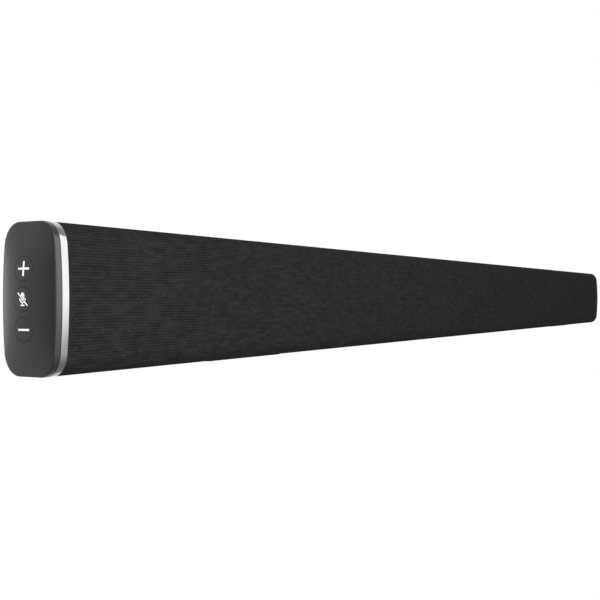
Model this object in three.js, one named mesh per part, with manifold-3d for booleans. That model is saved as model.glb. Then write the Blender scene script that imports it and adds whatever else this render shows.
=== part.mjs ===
// Slim soundbar: a long fabric-fronted box with a bright trim ring, a domed cap and three push buttons
// at its left end, and a plain cap at its right end. Millimetres.
// X runs along the length, left to right as seen from the front. The front faces -Y and +Z is up.
// The origin is the middle of the footprint, on the surface that the feet stand on.
import * as THREE from 'three';
import { mergeVertices } from 'three/addons/utils/BufferGeometryUtils.js';
import Module from 'manifold-3d';

const wasm = await Module();
wasm.setup();

// ---- Driving dimensions ----

const LENGTH = 1214; // tip of the left cap to tip of the right cap
const HEIGHT = 78; // body, without the feet
const DEPTH = 37.3; // body, both bows included
const FIT = 0.3; // gap between two pieces that meet
const OVERCUT = 5; // how far a cutting tool runs past what it cuts

const FRONT_SIDE = { bow: 1.1, y: 9.9, z: 13.2 }; // swell at mid height, and half axes of the rounded edges
const REAR_SIDE = { bow: 1.1, y: 10.6, z: 13.4 };
const CORNER_STEPS = 7;
const BOW_STEPS = 3;

const FOOT = { length: 90, width: 11, deep: 1.2, proud: 0.5, fromEnd: 150, behindSeam: 1.5 };

const SLEEVE_WALL = 0.8; // grille cloth with its backing
const FRAME_WALL = 1.8; // rigid grille frame under the cloth
const TUB_WALL = 2; // front rim of the rear housing, under the grille frame
const HOUSING_WALL = 2.4;
const CLOTH_TOP = 21.4; // how far back the cloth reaches on the top side, from the front
const CLOTH_BOTTOM = 10.9; // the same on the underside
const BULKHEAD = 2.4; // end walls of each section of the rear housing

const RING = { width: 5.4, wall: 2.2 };
const CAP = { side: 3.7, sag: 4.4, edge: 0.6, wall: 2.2, face: 3.4, faceInset: 5 };
const RIGHT_SIDE = 6; // side wall of the plain right cap

const BUTTON = { radius: 6, flange: 1.2, flangeThick: 1.2, between: 0.8, travel: 0.6 }; // between two flanges
const SWITCH = { size: 6, height: 2, plungerRadius: 1.1, plungerLength: 1.5 };
const BOARD = 1.6; // thickness of every circuit board
const BUTTON_BOARD = { width: 16, margin: 1.6 };
const CARRIER = { thick: 2.2, inset: 4.5 }; // plate that holds the button board

const BAFFLE = { thick: 2.5, behindFrame: 3.7 }; // behind the inner face of the grille frame
const GASKET = { thick: 0.7, width: 2.4 };
const WINDOWS = { count: 10, halfHeight: 24, rib: 9, endMargin: 14 };

const DRIVER = {
  flange: 28,
  opening: 24.5,
  wall: 3, // between the flange's mouth and the hole in the baffle
  thick: 2,
  depth: 20.5,
  magnet: 15.5,
  magnetDeep: 9,
  coil: 7.8,
  throat: 9.6,
  backPlate: 1.6,
  surround: 0.6, // free gap round the cone
  excursion: 1.2, // each way
};
const DRIVER_X = [-500, -240, 240, 500];
const TWEETER = { flange: 16, opening: 13, dome: 9, deep: 9, thick: 1.6, well: 3.6 };
const TWEETER_X = [-385, 385];

const BAY = { halfLength: 150 }; // centre section of the housing, which holds the electronics
const MAIN_BOARD = { length: 230, height: 50 };
const HEAT_SPREADER = { length: 150, height: 40, thick: 3 };
const MIC_BOARD = { length: 220, height: 9, z: 22 };

const POCKET = { x0: 20, x1: 120, height: 30, deep: 10, wall: 2 }; // rear recess for the plugs
const SOCKETS = [
  { name: 'power_inlet', x: 36, width: 11, height: 11, hole: 'round', bore: 3.1 },
  { name: 'video_socket', x: 66, width: 15.6, height: 6.2, hole: 'slot', bore: 3.2 },
  { name: 'service_socket', x: 96, width: 13.6, height: 6.2, hole: 'slot', bore: 3.2 },
];
const SOCKET = { proud: 0.8, deep: 7, rim: 0.9, base: 1.8 }; // base: material behind the mouth

const PAD = { width: 36, height: 50, thick: 3 }; // flat pad on the bowed back, round two thread inserts
const INSERT = { radius: 4, bore: 1.65, length: 6, spacingZ: 34, x: 420 }; // wall-mount thread inserts
const SCREW = { radius: 1.5, head: 2.9, headThick: 1.8, sunk: 1.8, boss: 4, clear: 1.9 };
const SCREW_X = [-570, -190, 190, 570];
const SCREW_Z = 20;
const CARRIER_SCREW = { radius: 1.25, head: 2.3, headThick: 1.4, fromBoard: 5.2 };

// ---- Values that follow from them ----

const BODY_Z = FOOT.proud + HEIGHT / 2; // height of the body's axis
const FRONT = -DEPTH / 2;
const REAR = DEPTH / 2;
const SEAM_TOP = FRONT + CLOTH_TOP; // Y where the cloth ends
const SEAM_BOTTOM = FRONT + CLOTH_BOTTOM;
const FOOT_Y = [SEAM_BOTTOM + FOOT.behindSeam, SEAM_BOTTOM + FOOT.behindSeam + FOOT.width];
const POCKET_FLOOR = REAR - POCKET.deep;
const SOCKET_FACE = POCKET_FLOOR + SOCKET.proud;
const SOCKET_BACK = SOCKET_FACE - SOCKET.deep - SOCKET.base;
const SOCKET_Z = BODY_Z;
const POCKET_Z = [SOCKET_Z - POCKET.height / 2, SOCKET_Z + POCKET.height / 2];
const LEFT_TIP = -LENGTH / 2;
const RIGHT_TIP = LENGTH / 2;
const LEFT_EDGE = LEFT_TIP + CAP.sag; // where the left cap's dome meets its side wall
const RIGHT_EDGE = RIGHT_TIP - CAP.sag;
const LEFT_CAP_END = LEFT_EDGE + CAP.side;
const SHELL_LEFT = LEFT_CAP_END + RING.width;
const SHELL_RIGHT = RIGHT_EDGE - RIGHT_SIDE;
const FRAME_INSET = SLEEVE_WALL + FIT;
const TUB_INSET = FRAME_INSET + FRAME_WALL + FIT;
const BAFFLE_FRONT = FRONT + FRAME_INSET + FRAME_WALL + BAFFLE.behindFrame;
const BAFFLE_REAR = BAFFLE_FRONT + BAFFLE.thick;
const TUB_RIM = BAFFLE_REAR + FIT + GASKET.thick + FIT;
const BUTTON_PITCH = 2 * (BUTTON.radius + BUTTON.flange) + BUTTON.between;
const BUTTON_Z = [BUTTON_PITCH, 0, -BUTTON_PITCH];
const BUTTON_BOARD_HALF = BUTTON_PITCH + BUTTON.radius + BUTTON_BOARD.margin; // half its height
const CARRIER_SCREW_Z = [1, -1].map((side) => BODY_Z + side * (BUTTON_BOARD_HALF + CARRIER_SCREW.fromBoard));

// ---- Materials ----

function finish(color, roughness, metalness = 0) {
  return new THREE.MeshStandardMaterial({ color, roughness, metalness });
}

const CLOTH = finish(0x2b2b2d, 0.95);
const CHARCOAL = finish(0x3c3d3f, 0.55);
const BLACK = finish(0x1b1b1c, 0.6);
const BRIGHT = finish(0xe2e3e5, 0.12, 1);
const RUBBER = finish(0x161616, 0.9);
const STEEL = finish(0x8f9194, 0.35, 1);
const BRASS = finish(0xb08d4a, 0.35, 1);
const CONE = finish(0x232324, 0.8);
const GREEN = finish(0x1f4a33, 0.6);
const ALUMINIUM = finish(0xa9abae, 0.4, 1);

// ---- Solids ----

function toSolid(geometry) {
  const bare = geometry.clone();
  bare.deleteAttribute('normal');
  bare.deleteAttribute('uv');
  const merged = mergeVertices(bare, 1e-4);
  const vertProperties = merged.attributes.position.array;
  const triVerts = new Uint32Array(merged.index.array);
  return new wasm.Manifold(new wasm.Mesh({ numProp: 3, vertProperties, triVerts }));
}

function toGeometry(solid) {
  const mesh = solid.getMesh();
  const geometry = new THREE.BufferGeometry();
  geometry.setAttribute('position', new THREE.BufferAttribute(new Float32Array(mesh.vertProperties), 3));
  geometry.setIndex(new THREE.BufferAttribute(new Uint32Array(mesh.triVerts), 1));
  geometry.computeVertexNormals();
  return geometry;
}

function joined(...solids) {
  return solids.reduce((whole, solid) => whole.add(solid));
}

function cutBy(solid, ...tools) {
  return tools.reduce((left, tool) => left.subtract(tool), solid);
}

// A box between two corners.
function box(x0, x1, y0, y1, z0, z1) {
  const geometry = new THREE.BoxGeometry(x1 - x0, y1 - y0, z1 - z0);
  geometry.translate((x0 + x1) / 2, (y0 + y1) / 2, (z0 + z1) / 2);
  return toSolid(geometry);
}

// A round bar along X, from x0 to x1.
function barX(radius, x0, x1, y, z, sides = 12) {
  const geometry = new THREE.CylinderGeometry(radius, radius, x1 - x0, sides);
  geometry.rotateZ(-Math.PI / 2);
  geometry.translate((x0 + x1) / 2, y, z);
  return toSolid(geometry);
}

// A round bar along Y, from y0 to y1.
function barY(radius, y0, y1, x, z, sides = 12) {
  const geometry = new THREE.CylinderGeometry(radius, radius, y1 - y0, sides);
  geometry.translate(x, (y0 + y1) / 2, z);
  return toSolid(geometry);
}

// A solid of revolution about Y. The profile's [radius, y] points run anticlockwise.
function turned(profile, sides = 18) {
  const points = profile.map(([radius, y]) => new THREE.Vector2(radius, y));
  return new THREE.LatheGeometry(points, sides);
}

// The upper half of one side of the body's section, from mid height to the top, as distances from the
// middle plane and heights: the side swells on a parabola and runs smoothly into an elliptical edge.
function upperSide(side, inset) {
  const halfY = DEPTH / 2 - inset;
  const halfZ = HEIGHT / 2 - inset;
  const edge = { y: side.y - inset, z: side.z - inset };
  const slope = (2 * side.bow) / (HEIGHT / 2 - side.z);
  const start = Math.atan((slope * edge.z) / edge.y);
  const bowTop = halfZ - edge.z * (1 - Math.sin(start));
  const bow = (slope * bowTop) / 2;
  const points = [];
  for (let i = 0; i < BOW_STEPS; i += 1) {
    const z = (bowTop * (i + 0.5)) / BOW_STEPS;
    points.push([halfY - bow * (z / bowTop) ** 2, z]);
  }
  for (let i = 0; i <= CORNER_STEPS; i += 1) {
    const t = start + ((Math.PI / 2 - start) * i) / CORNER_STEPS;
    points.push([halfY - bow - edge.y * (Math.cos(start) - Math.cos(t)), halfZ - edge.z * (1 - Math.sin(t))]);
  }
  return points;
}

// The body's section in the (Y, Z) plane, `inset` inside its skin. Points run from the underside over the
// front to the top and back, so the outline turns clockwise.
function outline(inset) {
  const front = upperSide(FRONT_SIDE, inset).map(([y, z]) => [-y, z]);
  const upper = [...front, ...upperSide(REAR_SIDE, inset).reverse()];
  const lower = upper.map(([y, z]) => [y, -z]).reverse();
  return [...lower, ...upper];
}

// A prism along X with the body's section at `inset`.
function prism(inset, x0, x1) {
  const shape = new THREE.Shape(outline(inset).map(([y, z]) => new THREE.Vector2(y, z)));
  const geometry = new THREE.ExtrudeGeometry(shape, { depth: x1 - x0, bevelEnabled: false });
  const toX = new THREE.Matrix4();
  toX.makeBasis(new THREE.Vector3(0, 1, 0), new THREE.Vector3(0, 0, 1), new THREE.Vector3(1, 0, 0));
  geometry.applyMatrix4(toX);
  geometry.translate(x0, 0, BODY_Z);
  return toSolid(geometry);
}

// Everything behind the seams, moved forward by `shift`: the cloth ends further back on the top side.
function behindSeams(shift) {
  const x0 = LEFT_TIP - OVERCUT;
  const x1 = RIGHT_TIP + OVERCUT;
  const far = REAR + OVERCUT;
  const tall = HEIGHT / 2 + OVERCUT;
  const upper = box(x0, x1, SEAM_TOP - shift, far, BODY_Z - OVERCUT, BODY_Z + tall);
  const lower = box(x0, x1, SEAM_BOTTOM - shift, far, BODY_Z - tall, BODY_Z + OVERCUT);
  return joined(upper, box(x0, x1, SEAM_TOP - shift, far, BODY_Z - tall, BODY_Z), lower);
}

// The domed end of a cap: the section shrinks towards the tip on a parabola and turns into an ellipse
// on the way, with a small rounded edge where it leaves the side wall. `side` is -1 for the left cap
// and 1 for the right cap.
function domedPlug(side, edgeX, baseX) {
  const rounding = [0, 30, 60, 90].map((degrees) => THREE.MathUtils.degToRad(degrees));
  const ellipse = { y: DEPTH / 2 - CAP.edge, z: HEIGHT / 2 - CAP.edge };
  const rings = [{ x: baseX, inset: 0, scale: 1 }];
  rounding.forEach((t) => {
    const x = edgeX - side * CAP.edge * (1 - Math.sin(t));
    rings.push({ x, inset: CAP.edge * (1 - Math.cos(t)), scale: 1 });
  });
  for (const scale of [0.93, 0.84, 0.7, 0.54, 0.38, 0.2]) {
    rings.push({ x: edgeX + side * CAP.sag * (1 - scale ** 2), inset: CAP.edge, scale });
  }
  const vertices = [];
  for (const { x, inset, scale } of rings) {
    for (const [y, z] of outline(inset)) {
      const toEllipse = 1 / Math.hypot(y / ellipse.y, z / ellipse.z);
      const reach = scale * ((1 - scale ** 2) * toEllipse + scale ** 2);
      vertices.push(x, y * reach, BODY_Z + z * reach);
    }
  }
  const around = vertices.length / 3 / rings.length;
  const tip = vertices.length / 3;
  vertices.push(edgeX + side * CAP.sag, 0, BODY_Z);
  vertices.push(baseX, 0, BODY_Z);
  const faces = [];
  const face = (a, b, c) => (side > 0 ? faces.push(a, b, c) : faces.push(a, c, b));
  for (let j = 0; j < around; j += 1) {
    const next = (j + 1) % around;
    for (let i = 0; i + 1 < rings.length; i += 1) {
      const row = i * around;
      face(row + j, row + around + j, row + next);
      face(row + next, row + around + j, row + around + next);
    }
    const last = (rings.length - 1) * around;
    face(last + j, tip, last + next);
    face(next, tip + 1, j);
  }
  const geometry = new THREE.BufferGeometry();
  geometry.setAttribute('position', new THREE.BufferAttribute(new Float32Array(vertices), 3));
  geometry.setIndex(faces);
  return toSolid(geometry);
}

// The hollow of a cap: a wide part behind the rim and a narrower, deeper one behind the face.
function capHollow(side, edgeX, baseX) {
  const wideEnd = edgeX - side * 1;
  const faceEnd = edgeX + side * (CAP.sag - CAP.face);
  const open = baseX - side * OVERCUT;
  const span = (x) => [Math.min(x, open), Math.max(x, open)];
  return joined(prism(CAP.wall, ...span(wideEnd)), prism(CAP.faceInset, ...span(faceEnd)));
}

// A pan-head screw along Y: the head's outer face at yHead, the shank running to yTip.
function screwAlongY(x, z, yHead, yTip) {
  const head = barY(SCREW.head, yHead - SCREW.headThick, yHead, x, z);
  const shank = barY(SCREW.radius, yTip, yHead - SCREW.headThick / 2, x, z, 8);
  const recess = barY(SCREW.head * 0.42, yHead - SCREW.headThick / 2, yHead + OVERCUT, x, z, 6);
  return cutBy(joined(head, shank), recess);
}

// ---- Scene graph ----

const soundbar = new THREE.Group();
const shell = new THREE.Group();
const leftEnd = new THREE.Group();
const acoustics = new THREE.Group();
const electronics = new THREE.Group();
const fixings = new THREE.Group();
soundbar.add(shell, leftEnd, acoustics, electronics, fixings);

function addPiece(group, name, geometry, material) {
  const mesh = new THREE.Mesh(geometry, material);
  mesh.name = name;
  group.add(mesh);
  return mesh;
}

// Outer shell

function makeSleeve() {
  const skin = cutBy(prism(0, SHELL_LEFT, SHELL_RIGHT), prism(SLEEVE_WALL, SHELL_LEFT - 1, SHELL_RIGHT + 1));
  return cutBy(skin, behindSeams(0));
}

// The windows lie between upright ribs.
function windowSpans() {
  const first = SHELL_LEFT + WINDOWS.endMargin;
  const pitch = (SHELL_RIGHT - SHELL_LEFT - 2 * WINDOWS.endMargin + WINDOWS.rib) / WINDOWS.count;
  return Array.from({ length: WINDOWS.count }, (_, i) => {
    const x0 = first + i * pitch;
    return [x0, x0 + pitch - WINDOWS.rib];
  });
}

function makeGrilleFrame() {
  const inner = FRAME_INSET + FRAME_WALL;
  const x0 = SHELL_LEFT + FIT;
  const x1 = SHELL_RIGHT - FIT;
  const skin = cutBy(prism(FRAME_INSET, x0, x1), prism(inner, x0 - 1, x1 + 1), behindSeams(0));
  const { halfHeight } = WINDOWS;
  const deep = FRONT + inner + FRONT_SIDE.bow + 1;
  const windows = windowSpans().map(([w0, w1]) => (
    box(w0, w1, FRONT - OVERCUT, deep, BODY_Z - halfHeight, BODY_Z + halfHeight)
  ));
  return cutBy(skin, ...windows);
}

function bossPlaces() {
  return SCREW_X.flatMap((x) => [[x, BODY_Z + SCREW_Z], [x, BODY_Z - SCREW_Z]]);
}

function insertPlaces() {
  return [-1, 1].flatMap((side) => [1, -1].map((end) => (
    [side * INSERT.x, BODY_Z + (end * INSERT.spacingZ) / 2]
  )));
}

// Holes for the carrier's screws, through the carrier and the housing's left bulkhead.
function carrierScrewHoles() {
  const far = SHELL_LEFT + BULKHEAD + OVERCUT;
  return CARRIER_SCREW_Z.map((z) => barX(CARRIER_SCREW.radius + FIT, LEFT_TIP, far, 0, z));
}

const HOUSING_SECTIONS = [
  { name: 'rear_housing_left', x0: SHELL_LEFT + FIT, x1: -BAY.halfLength - FIT },
  { name: 'rear_housing_centre', x0: -BAY.halfLength, x1: BAY.halfLength },
  { name: 'rear_housing_right', x0: BAY.halfLength + FIT, x1: SHELL_RIGHT - FIT },
];

// One section of the rear housing: the visible back and underside, and a recessed rim that the grille
// frame slides over. Each section is a tub with its own end walls, open to the front.
function makeTub(x0, x1) {
  const ahead = box(x0 - 1, x1 + 1, FRONT - OVERCUT, TUB_RIM, BODY_Z - HEIGHT, BODY_Z + HEIGHT);
  const outer = prism(0, x0, x1).intersect(behindSeams(-FIT));
  const rim = cutBy(prism(TUB_INSET, x0, x1), ahead);
  const span = [x0 + BULKHEAD, x1 - BULKHEAD];
  const wide = prism(HOUSING_WALL, ...span).intersect(behindSeams(-FIT - HOUSING_WALL));
  return cutBy(joined(outer, rim), wide, prism(TUB_INSET + TUB_WALL, ...span));
}

// Flat pads for the wall mounts, and columns for the case screws and the thread inserts, with their holes,
// where they fall in the section.
function addFixings(tub, x0, x1) {
  const within = ([x]) => x > x0 && x < x1;
  const root = REAR - REAR_SIDE.bow - HOUSING_WALL / 2;
  let section = tub;
  for (const [x] of insertPlaces().filter(within)) {
    const [halfX, halfZ] = [PAD.width / 2, PAD.height / 2];
    const pad = box(x - halfX, x + halfX, REAR - PAD.thick, REAR, BODY_Z - halfZ, BODY_Z + halfZ);
    section = joined(section, pad);
  }
  for (const [x, z] of bossPlaces().filter(within)) {
    const headSeat = REAR - SCREW.sunk - SCREW.headThick - FIT;
    section = joined(section, barY(SCREW.boss, TUB_RIM, root, x, z));
    section = cutBy(section, barY(SCREW.clear, TUB_RIM - 1, REAR + OVERCUT, x, z));
    section = cutBy(section, barY(SCREW.head + FIT, headSeat, REAR + OVERCUT, x, z));
  }
  for (const [x, z] of insertPlaces().filter(within)) {
    const seat = REAR - INSERT.length - FIT;
    section = joined(section, barY(INSERT.radius + HOUSING_WALL, seat - HOUSING_WALL, root, x, z));
    section = cutBy(section, barY(INSERT.radius + FIT, seat, REAR + OVERCUT, x, z));
  }
  return section;
}

// The window that the connector bay fills.
function cutBayWindow(section) {
  const { x0, x1, wall } = POCKET;
  const [z0, z1] = POCKET_Z;
  const edge = wall + FIT;
  return cutBy(section, box(x0 - edge, x1 + edge, 0, REAR + OVERCUT, z0 - edge, z1 + edge));
}

function cutFootSeats(section) {
  const top = FOOT.proud + FOOT.deep + FIT;
  const seats = footSpans().map(([x0, x1]) => (
    box(x0 - FIT, x1 + FIT, FOOT_Y[0] - FIT, FOOT_Y[1] + FIT, -OVERCUT, top)
  ));
  return cutBy(section, ...seats);
}

function footSpans() {
  const far = RIGHT_TIP - FOOT.fromEnd;
  return [[-far, FOOT.length - far], [far - FOOT.length, far]];
}

addPiece(shell, 'fabric_sleeve', toGeometry(makeSleeve()), CLOTH);
addPiece(shell, 'grille_frame', toGeometry(makeGrilleFrame()), BLACK);
for (const { name, x0, x1 } of HOUSING_SECTIONS) {
  let section = cutFootSeats(addFixings(makeTub(x0, x1), x0, x1));
  if (x0 < POCKET.x0 && POCKET.x1 < x1) section = cutBayWindow(section);
  if (x0 < SHELL_LEFT + BULKHEAD) section = cutBy(section, ...carrierScrewHoles());
  addPiece(shell, name, toGeometry(section), BLACK);
}
footSpans().forEach(([x0, x1], i) => {
  const strip = box(x0, x1, ...FOOT_Y, 0, FOOT.proud + FOOT.deep);
  addPiece(shell, ['left_foot', 'right_foot'][i], toGeometry(strip), RUBBER);
});

const rightPlug = domedPlug(1, RIGHT_EDGE, SHELL_RIGHT + FIT);
const rightCap = cutBy(rightPlug, capHollow(1, RIGHT_EDGE, SHELL_RIGHT + FIT));
addPiece(shell, 'right_end_cap', toGeometry(rightCap), BLACK);

// Left end: trim ring, cap, buttons, switches, board and carrier

const ringSpan = [LEFT_CAP_END + FIT, SHELL_LEFT - FIT];
const ring = cutBy(prism(0, ...ringSpan), prism(RING.wall, ringSpan[0] - 1, ringSpan[1] + 1));
addPiece(leftEnd, 'left_trim_ring', toGeometry(ring), BRIGHT);

const leftPlug = domedPlug(-1, LEFT_EDGE, LEFT_CAP_END);
const leftHoles = BUTTON_Z.map((z) => (
  barX(BUTTON.radius + FIT, LEFT_TIP - OVERCUT, LEFT_CAP_END + OVERCUT, 0, BODY_Z + z, 24)
));
const leftCap = cutBy(leftPlug, capHollow(-1, LEFT_EDGE, LEFT_CAP_END), ...leftHoles);
addPiece(leftEnd, 'left_end_cap', toGeometry(leftCap), CHARCOAL);

const FACE_INNER = LEFT_TIP + CAP.face; // inner side of the cap's face
const FLANGE_BACK = FACE_INNER + FIT + BUTTON.flangeThick;
const PLUNGER_FRONT = FLANGE_BACK + FIT;
const PLUNGER_BACK = PLUNGER_FRONT + SWITCH.plungerLength;
const SWITCH_FRONT = FLANGE_BACK + BUTTON.travel + FIT;
const SWITCH_BACK = SWITCH_FRONT + SWITCH.height;
const BUTTON_BOARD_FRONT = SWITCH_BACK + FIT;
const CARRIER_FRONT = BUTTON_BOARD_FRONT + BOARD + FIT;

// A button is the plug of the cap's own dome inside its hole, with a flange that keeps it in.
function makeButton(z) {
  const disc = leftPlug.intersect(barX(BUTTON.radius, LEFT_TIP - OVERCUT, FLANGE_BACK, 0, BODY_Z + z, 24));
  const flangeRadius = BUTTON.radius + BUTTON.flange;
  return joined(disc, barX(flangeRadius, FACE_INNER + FIT, FLANGE_BACK, 0, BODY_Z + z, 24));
}

// A tactile switch: a square case with a hole for its plunger.
function makeSwitch(z) {
  const half = SWITCH.size / 2;
  const body = box(SWITCH_FRONT, SWITCH_BACK, -half, half, BODY_Z + z - half, BODY_Z + z + half);
  const bore = barX(SWITCH.plungerRadius + FIT, SWITCH_FRONT - 1, SWITCH_BACK - FIT, 0, BODY_Z + z);
  return cutBy(body, bore);
}

function makePlunger(z) {
  return barX(SWITCH.plungerRadius, PLUNGER_FRONT, PLUNGER_BACK, 0, BODY_Z + z);
}

['volume_up', 'mic_mute', 'volume_down'].forEach((name, i) => {
  addPiece(leftEnd, `${name}_button`, toGeometry(makeButton(BUTTON_Z[i])), CHARCOAL);
  addPiece(leftEnd, `${name}_plunger`, toGeometry(makePlunger(BUTTON_Z[i])), BLACK);
  addPiece(leftEnd, `${name}_switch`, toGeometry(makeSwitch(BUTTON_Z[i])), STEEL);
});

const boardBack = BUTTON_BOARD_FRONT + BOARD;
const boardSide = BUTTON_BOARD.width / 2;
const buttonBoard = box(
  BUTTON_BOARD_FRONT,
  boardBack,
  -boardSide,
  boardSide,
  BODY_Z - BUTTON_BOARD_HALF,
  BODY_Z + BUTTON_BOARD_HALF,
);
addPiece(leftEnd, 'button_board', toGeometry(buttonBoard), GREEN);

const carrierSpan = [CARRIER_FRONT, CARRIER_FRONT + CARRIER.thick];
const carrier = cutBy(prism(CARRIER.inset, ...carrierSpan), ...carrierScrewHoles());
addPiece(leftEnd, 'button_carrier', toGeometry(carrier), BLACK);

// Loudspeakers

function makeBaffle() {
  const y0 = BAFFLE_FRONT;
  const y1 = BAFFLE_REAR;
  const x0 = SHELL_LEFT + FIT;
  const x1 = SHELL_RIGHT - FIT;
  const slab = box(x0, x1, y0, y1, BODY_Z - HEIGHT, BODY_Z + HEIGHT);
  const plate = prism(TUB_INSET, x0, x1).intersect(slab);
  const openings = DRIVER_X.map((x) => barY(DRIVER.opening, y0 - 1, y1 + 1, x, BODY_Z, 18));
  const small = TWEETER_X.map((x) => barY(TWEETER.opening, y0 - 1, y1 + 1, x, BODY_Z, 18));
  const holes = bossPlaces().map(([x, z]) => barY(SCREW.clear, y0 - 1, y1 + 1, x, z));
  return cutBy(plate, ...openings, ...small, ...holes);
}

// A foam strip loop between the baffle and the housing's rim.
function makeGasket() {
  const y0 = BAFFLE_REAR + FIT;
  const x0 = SHELL_LEFT + FIT;
  const x1 = SHELL_RIGHT - FIT;
  const slab = box(x0, x1, y0, y0 + GASKET.thick, BODY_Z - HEIGHT, BODY_Z + HEIGHT);
  const loop = prism(TUB_INSET, x0, x1).intersect(slab);
  return cutBy(loop, prism(TUB_INSET + GASKET.width, x0 + GASKET.width, x1 - GASKET.width));
}

addPiece(acoustics, 'front_baffle', toGeometry(makeBaffle()), BLACK);
addPiece(acoustics, 'baffle_gasket', toGeometry(makeGasket()), RUBBER);

// Driver basket: a flange in front of the baffle and a cup behind it, open at both ends.
function basketProfile() {
  const { flange, opening, wall, thick, depth, magnet, magnetDeep, throat, backPlate } = DRIVER;
  const neck = depth - magnetDeep - FIT;
  return [
    [opening - wall, -thick],
    [flange, -thick],
    [flange, -FIT],
    [opening - FIT, -FIT],
    [opening - FIT, BAFFLE.thick + 1],
    [magnet + 1, neck],
    [throat, neck],
    [throat, neck - backPlate],
    [magnet, neck - backPlate],
    [opening - wall, BAFFLE.thick],
    [opening - wall, -thick],
  ];
}

// Cone with its dust cap and voice-coil former: one stiff moving piece inside the basket.
function coneProfile() {
  const { opening, wall, depth, magnetDeep, coil, backPlate, surround, excursion } = DRIVER;
  const neck = depth - magnetDeep - FIT;
  const rim = opening - wall - surround;
  const back = neck - backPlate - excursion - surround;
  return [
    [0, back - 4],
    [coil * 0.7, back - 3.4],
    [coil, back - 2],
    [rim, -0.4],
    [rim, 0.4],
    [coil + 0.8, back - 0.6],
    [coil, back],
    [coil - 0.8, back],
    [coil - 1, back - 1],
    [0, back - 2.4],
  ];
}

function magnetProfile() {
  const { depth, magnet, magnetDeep } = DRIVER;
  return [[0, depth - magnetDeep], [magnet, depth - magnetDeep], [magnet, depth], [0, depth]];
}

DRIVER_X.forEach((x, i) => {
  const driver = new THREE.Group();
  driver.position.set(x, BAFFLE_FRONT, BODY_Z);
  acoustics.add(driver);
  addPiece(driver, `driver_${i + 1}_basket`, turned(basketProfile()), BLACK);
  addPiece(driver, `driver_${i + 1}_cone`, turned(coneProfile()), CONE);
  addPiece(driver, `driver_${i + 1}_magnet`, turned(magnetProfile()), STEEL);
});

// Tweeter: a flanged can with a dome standing in its mouth.
function tweeterProfile() {
  const { flange, opening, deep, thick, dome, well } = TWEETER;
  return [
    [0, well],
    [dome + 0.5, well],
    [dome + 0.5, -thick],
    [flange, -thick],
    [flange, -FIT],
    [opening - FIT, -FIT],
    [opening - FIT, deep],
    [0, deep],
  ];
}

function domeProfile() {
  const { dome } = TWEETER;
  return [[0, -1.2], [dome * 0.45, -0.7], [dome * 0.8, 0.7], [dome, 2.2], [dome, 2.7], [0, 2.7]];
}

TWEETER_X.forEach((x, i) => {
  const tweeter = new THREE.Group();
  tweeter.position.set(x, BAFFLE_FRONT, BODY_Z);
  acoustics.add(tweeter);
  addPiece(tweeter, `tweeter_${i + 1}_body`, turned(tweeterProfile()), BLACK);
  addPiece(tweeter, `tweeter_${i + 1}_dome`, turned(domeProfile()), CONE);
});

// Electronics

const mainY = SOCKET_BACK - FIT;
const mainHalf = { x: MAIN_BOARD.length / 2, z: MAIN_BOARD.height / 2 };
const [mainBottom, mainTop] = [BODY_Z - mainHalf.z, BODY_Z + mainHalf.z];
const mainBoard = box(-mainHalf.x, mainHalf.x, mainY - BOARD, mainY, mainBottom, mainTop);
addPiece(electronics, 'main_board', toGeometry(mainBoard), GREEN);

const spreaderY = mainY - BOARD - FIT;
const spreaderHalf = { x: HEAT_SPREADER.length / 2, z: HEAT_SPREADER.height / 2 };
const spreader = box(
  -spreaderHalf.x,
  spreaderHalf.x,
  spreaderY - HEAT_SPREADER.thick,
  spreaderY,
  BODY_Z - spreaderHalf.z,
  BODY_Z + spreaderHalf.z,
);
addPiece(electronics, 'heat_spreader', toGeometry(spreader), ALUMINIUM);

const micHalf = MIC_BOARD.length / 2;
const micZ = [BODY_Z + MIC_BOARD.z - MIC_BOARD.height / 2, BODY_Z + MIC_BOARD.z + MIC_BOARD.height / 2];
const micBoard = box(-micHalf, micHalf, BAFFLE_FRONT - FIT - BOARD, BAFFLE_FRONT - FIT, ...micZ);
addPiece(electronics, 'microphone_board', toGeometry(micBoard), GREEN);

// The way of a socket through the floor of the bay, with clearance.
function socketCut(x, width, height, y0, y1) {
  const halfW = width / 2 + FIT;
  const halfH = height / 2 + FIT;
  return box(x - halfW, x + halfW, y0, y1, SOCKET_Z - halfH, SOCKET_Z + halfH);
}

// Connector bay: a tub let into the back, open to the rear, with a way through its floor for each socket.
function makeConnectorBay() {
  const { x0, x1, wall } = POCKET;
  const [z0, z1] = POCKET_Z;
  const back = POCKET_FLOOR - wall;
  const lining = box(x0 - wall, x1 + wall, back, REAR, z0 - wall, z1 + wall);
  const cuts = SOCKETS.map(({ x, width, height }) => socketCut(x, width, height, back - 1, POCKET_FLOOR + 1));
  return cutBy(lining, box(x0, x1, POCKET_FLOOR, REAR + 1, z0, z1), ...cuts);
}

// A socket: a block through the bay's floor with its mouth to the rear, and a pin or tongue inside.
function makeSocket({ x, width, height, hole, bore }) {
  const face = SOCKET_FACE;
  const inner = face - SOCKET.deep;
  const [z0, z1] = [SOCKET_Z - height / 2, SOCKET_Z + height / 2];
  const body = box(x - width / 2, x + width / 2, SOCKET_BACK, face, z0, z1);
  if (hole === 'round') {
    const pin = barY(1, inner - 0.5, face - 1, x, SOCKET_Z, 12);
    return joined(cutBy(body, barY(bore, inner, face + 1, x, SOCKET_Z)), pin);
  }
  const halfW = width / 2 - SOCKET.rim;
  const halfH = height / 2 - SOCKET.rim;
  const mouth = box(x - halfW, x + halfW, inner, face + 1, SOCKET_Z - halfH, SOCKET_Z + halfH);
  const tongue = box(x - halfW + 1.5, x + halfW - 1.5, inner - 0.5, face - 1, SOCKET_Z - 0.6, SOCKET_Z + 0.6);
  return joined(cutBy(body, mouth), tongue);
}

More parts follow.
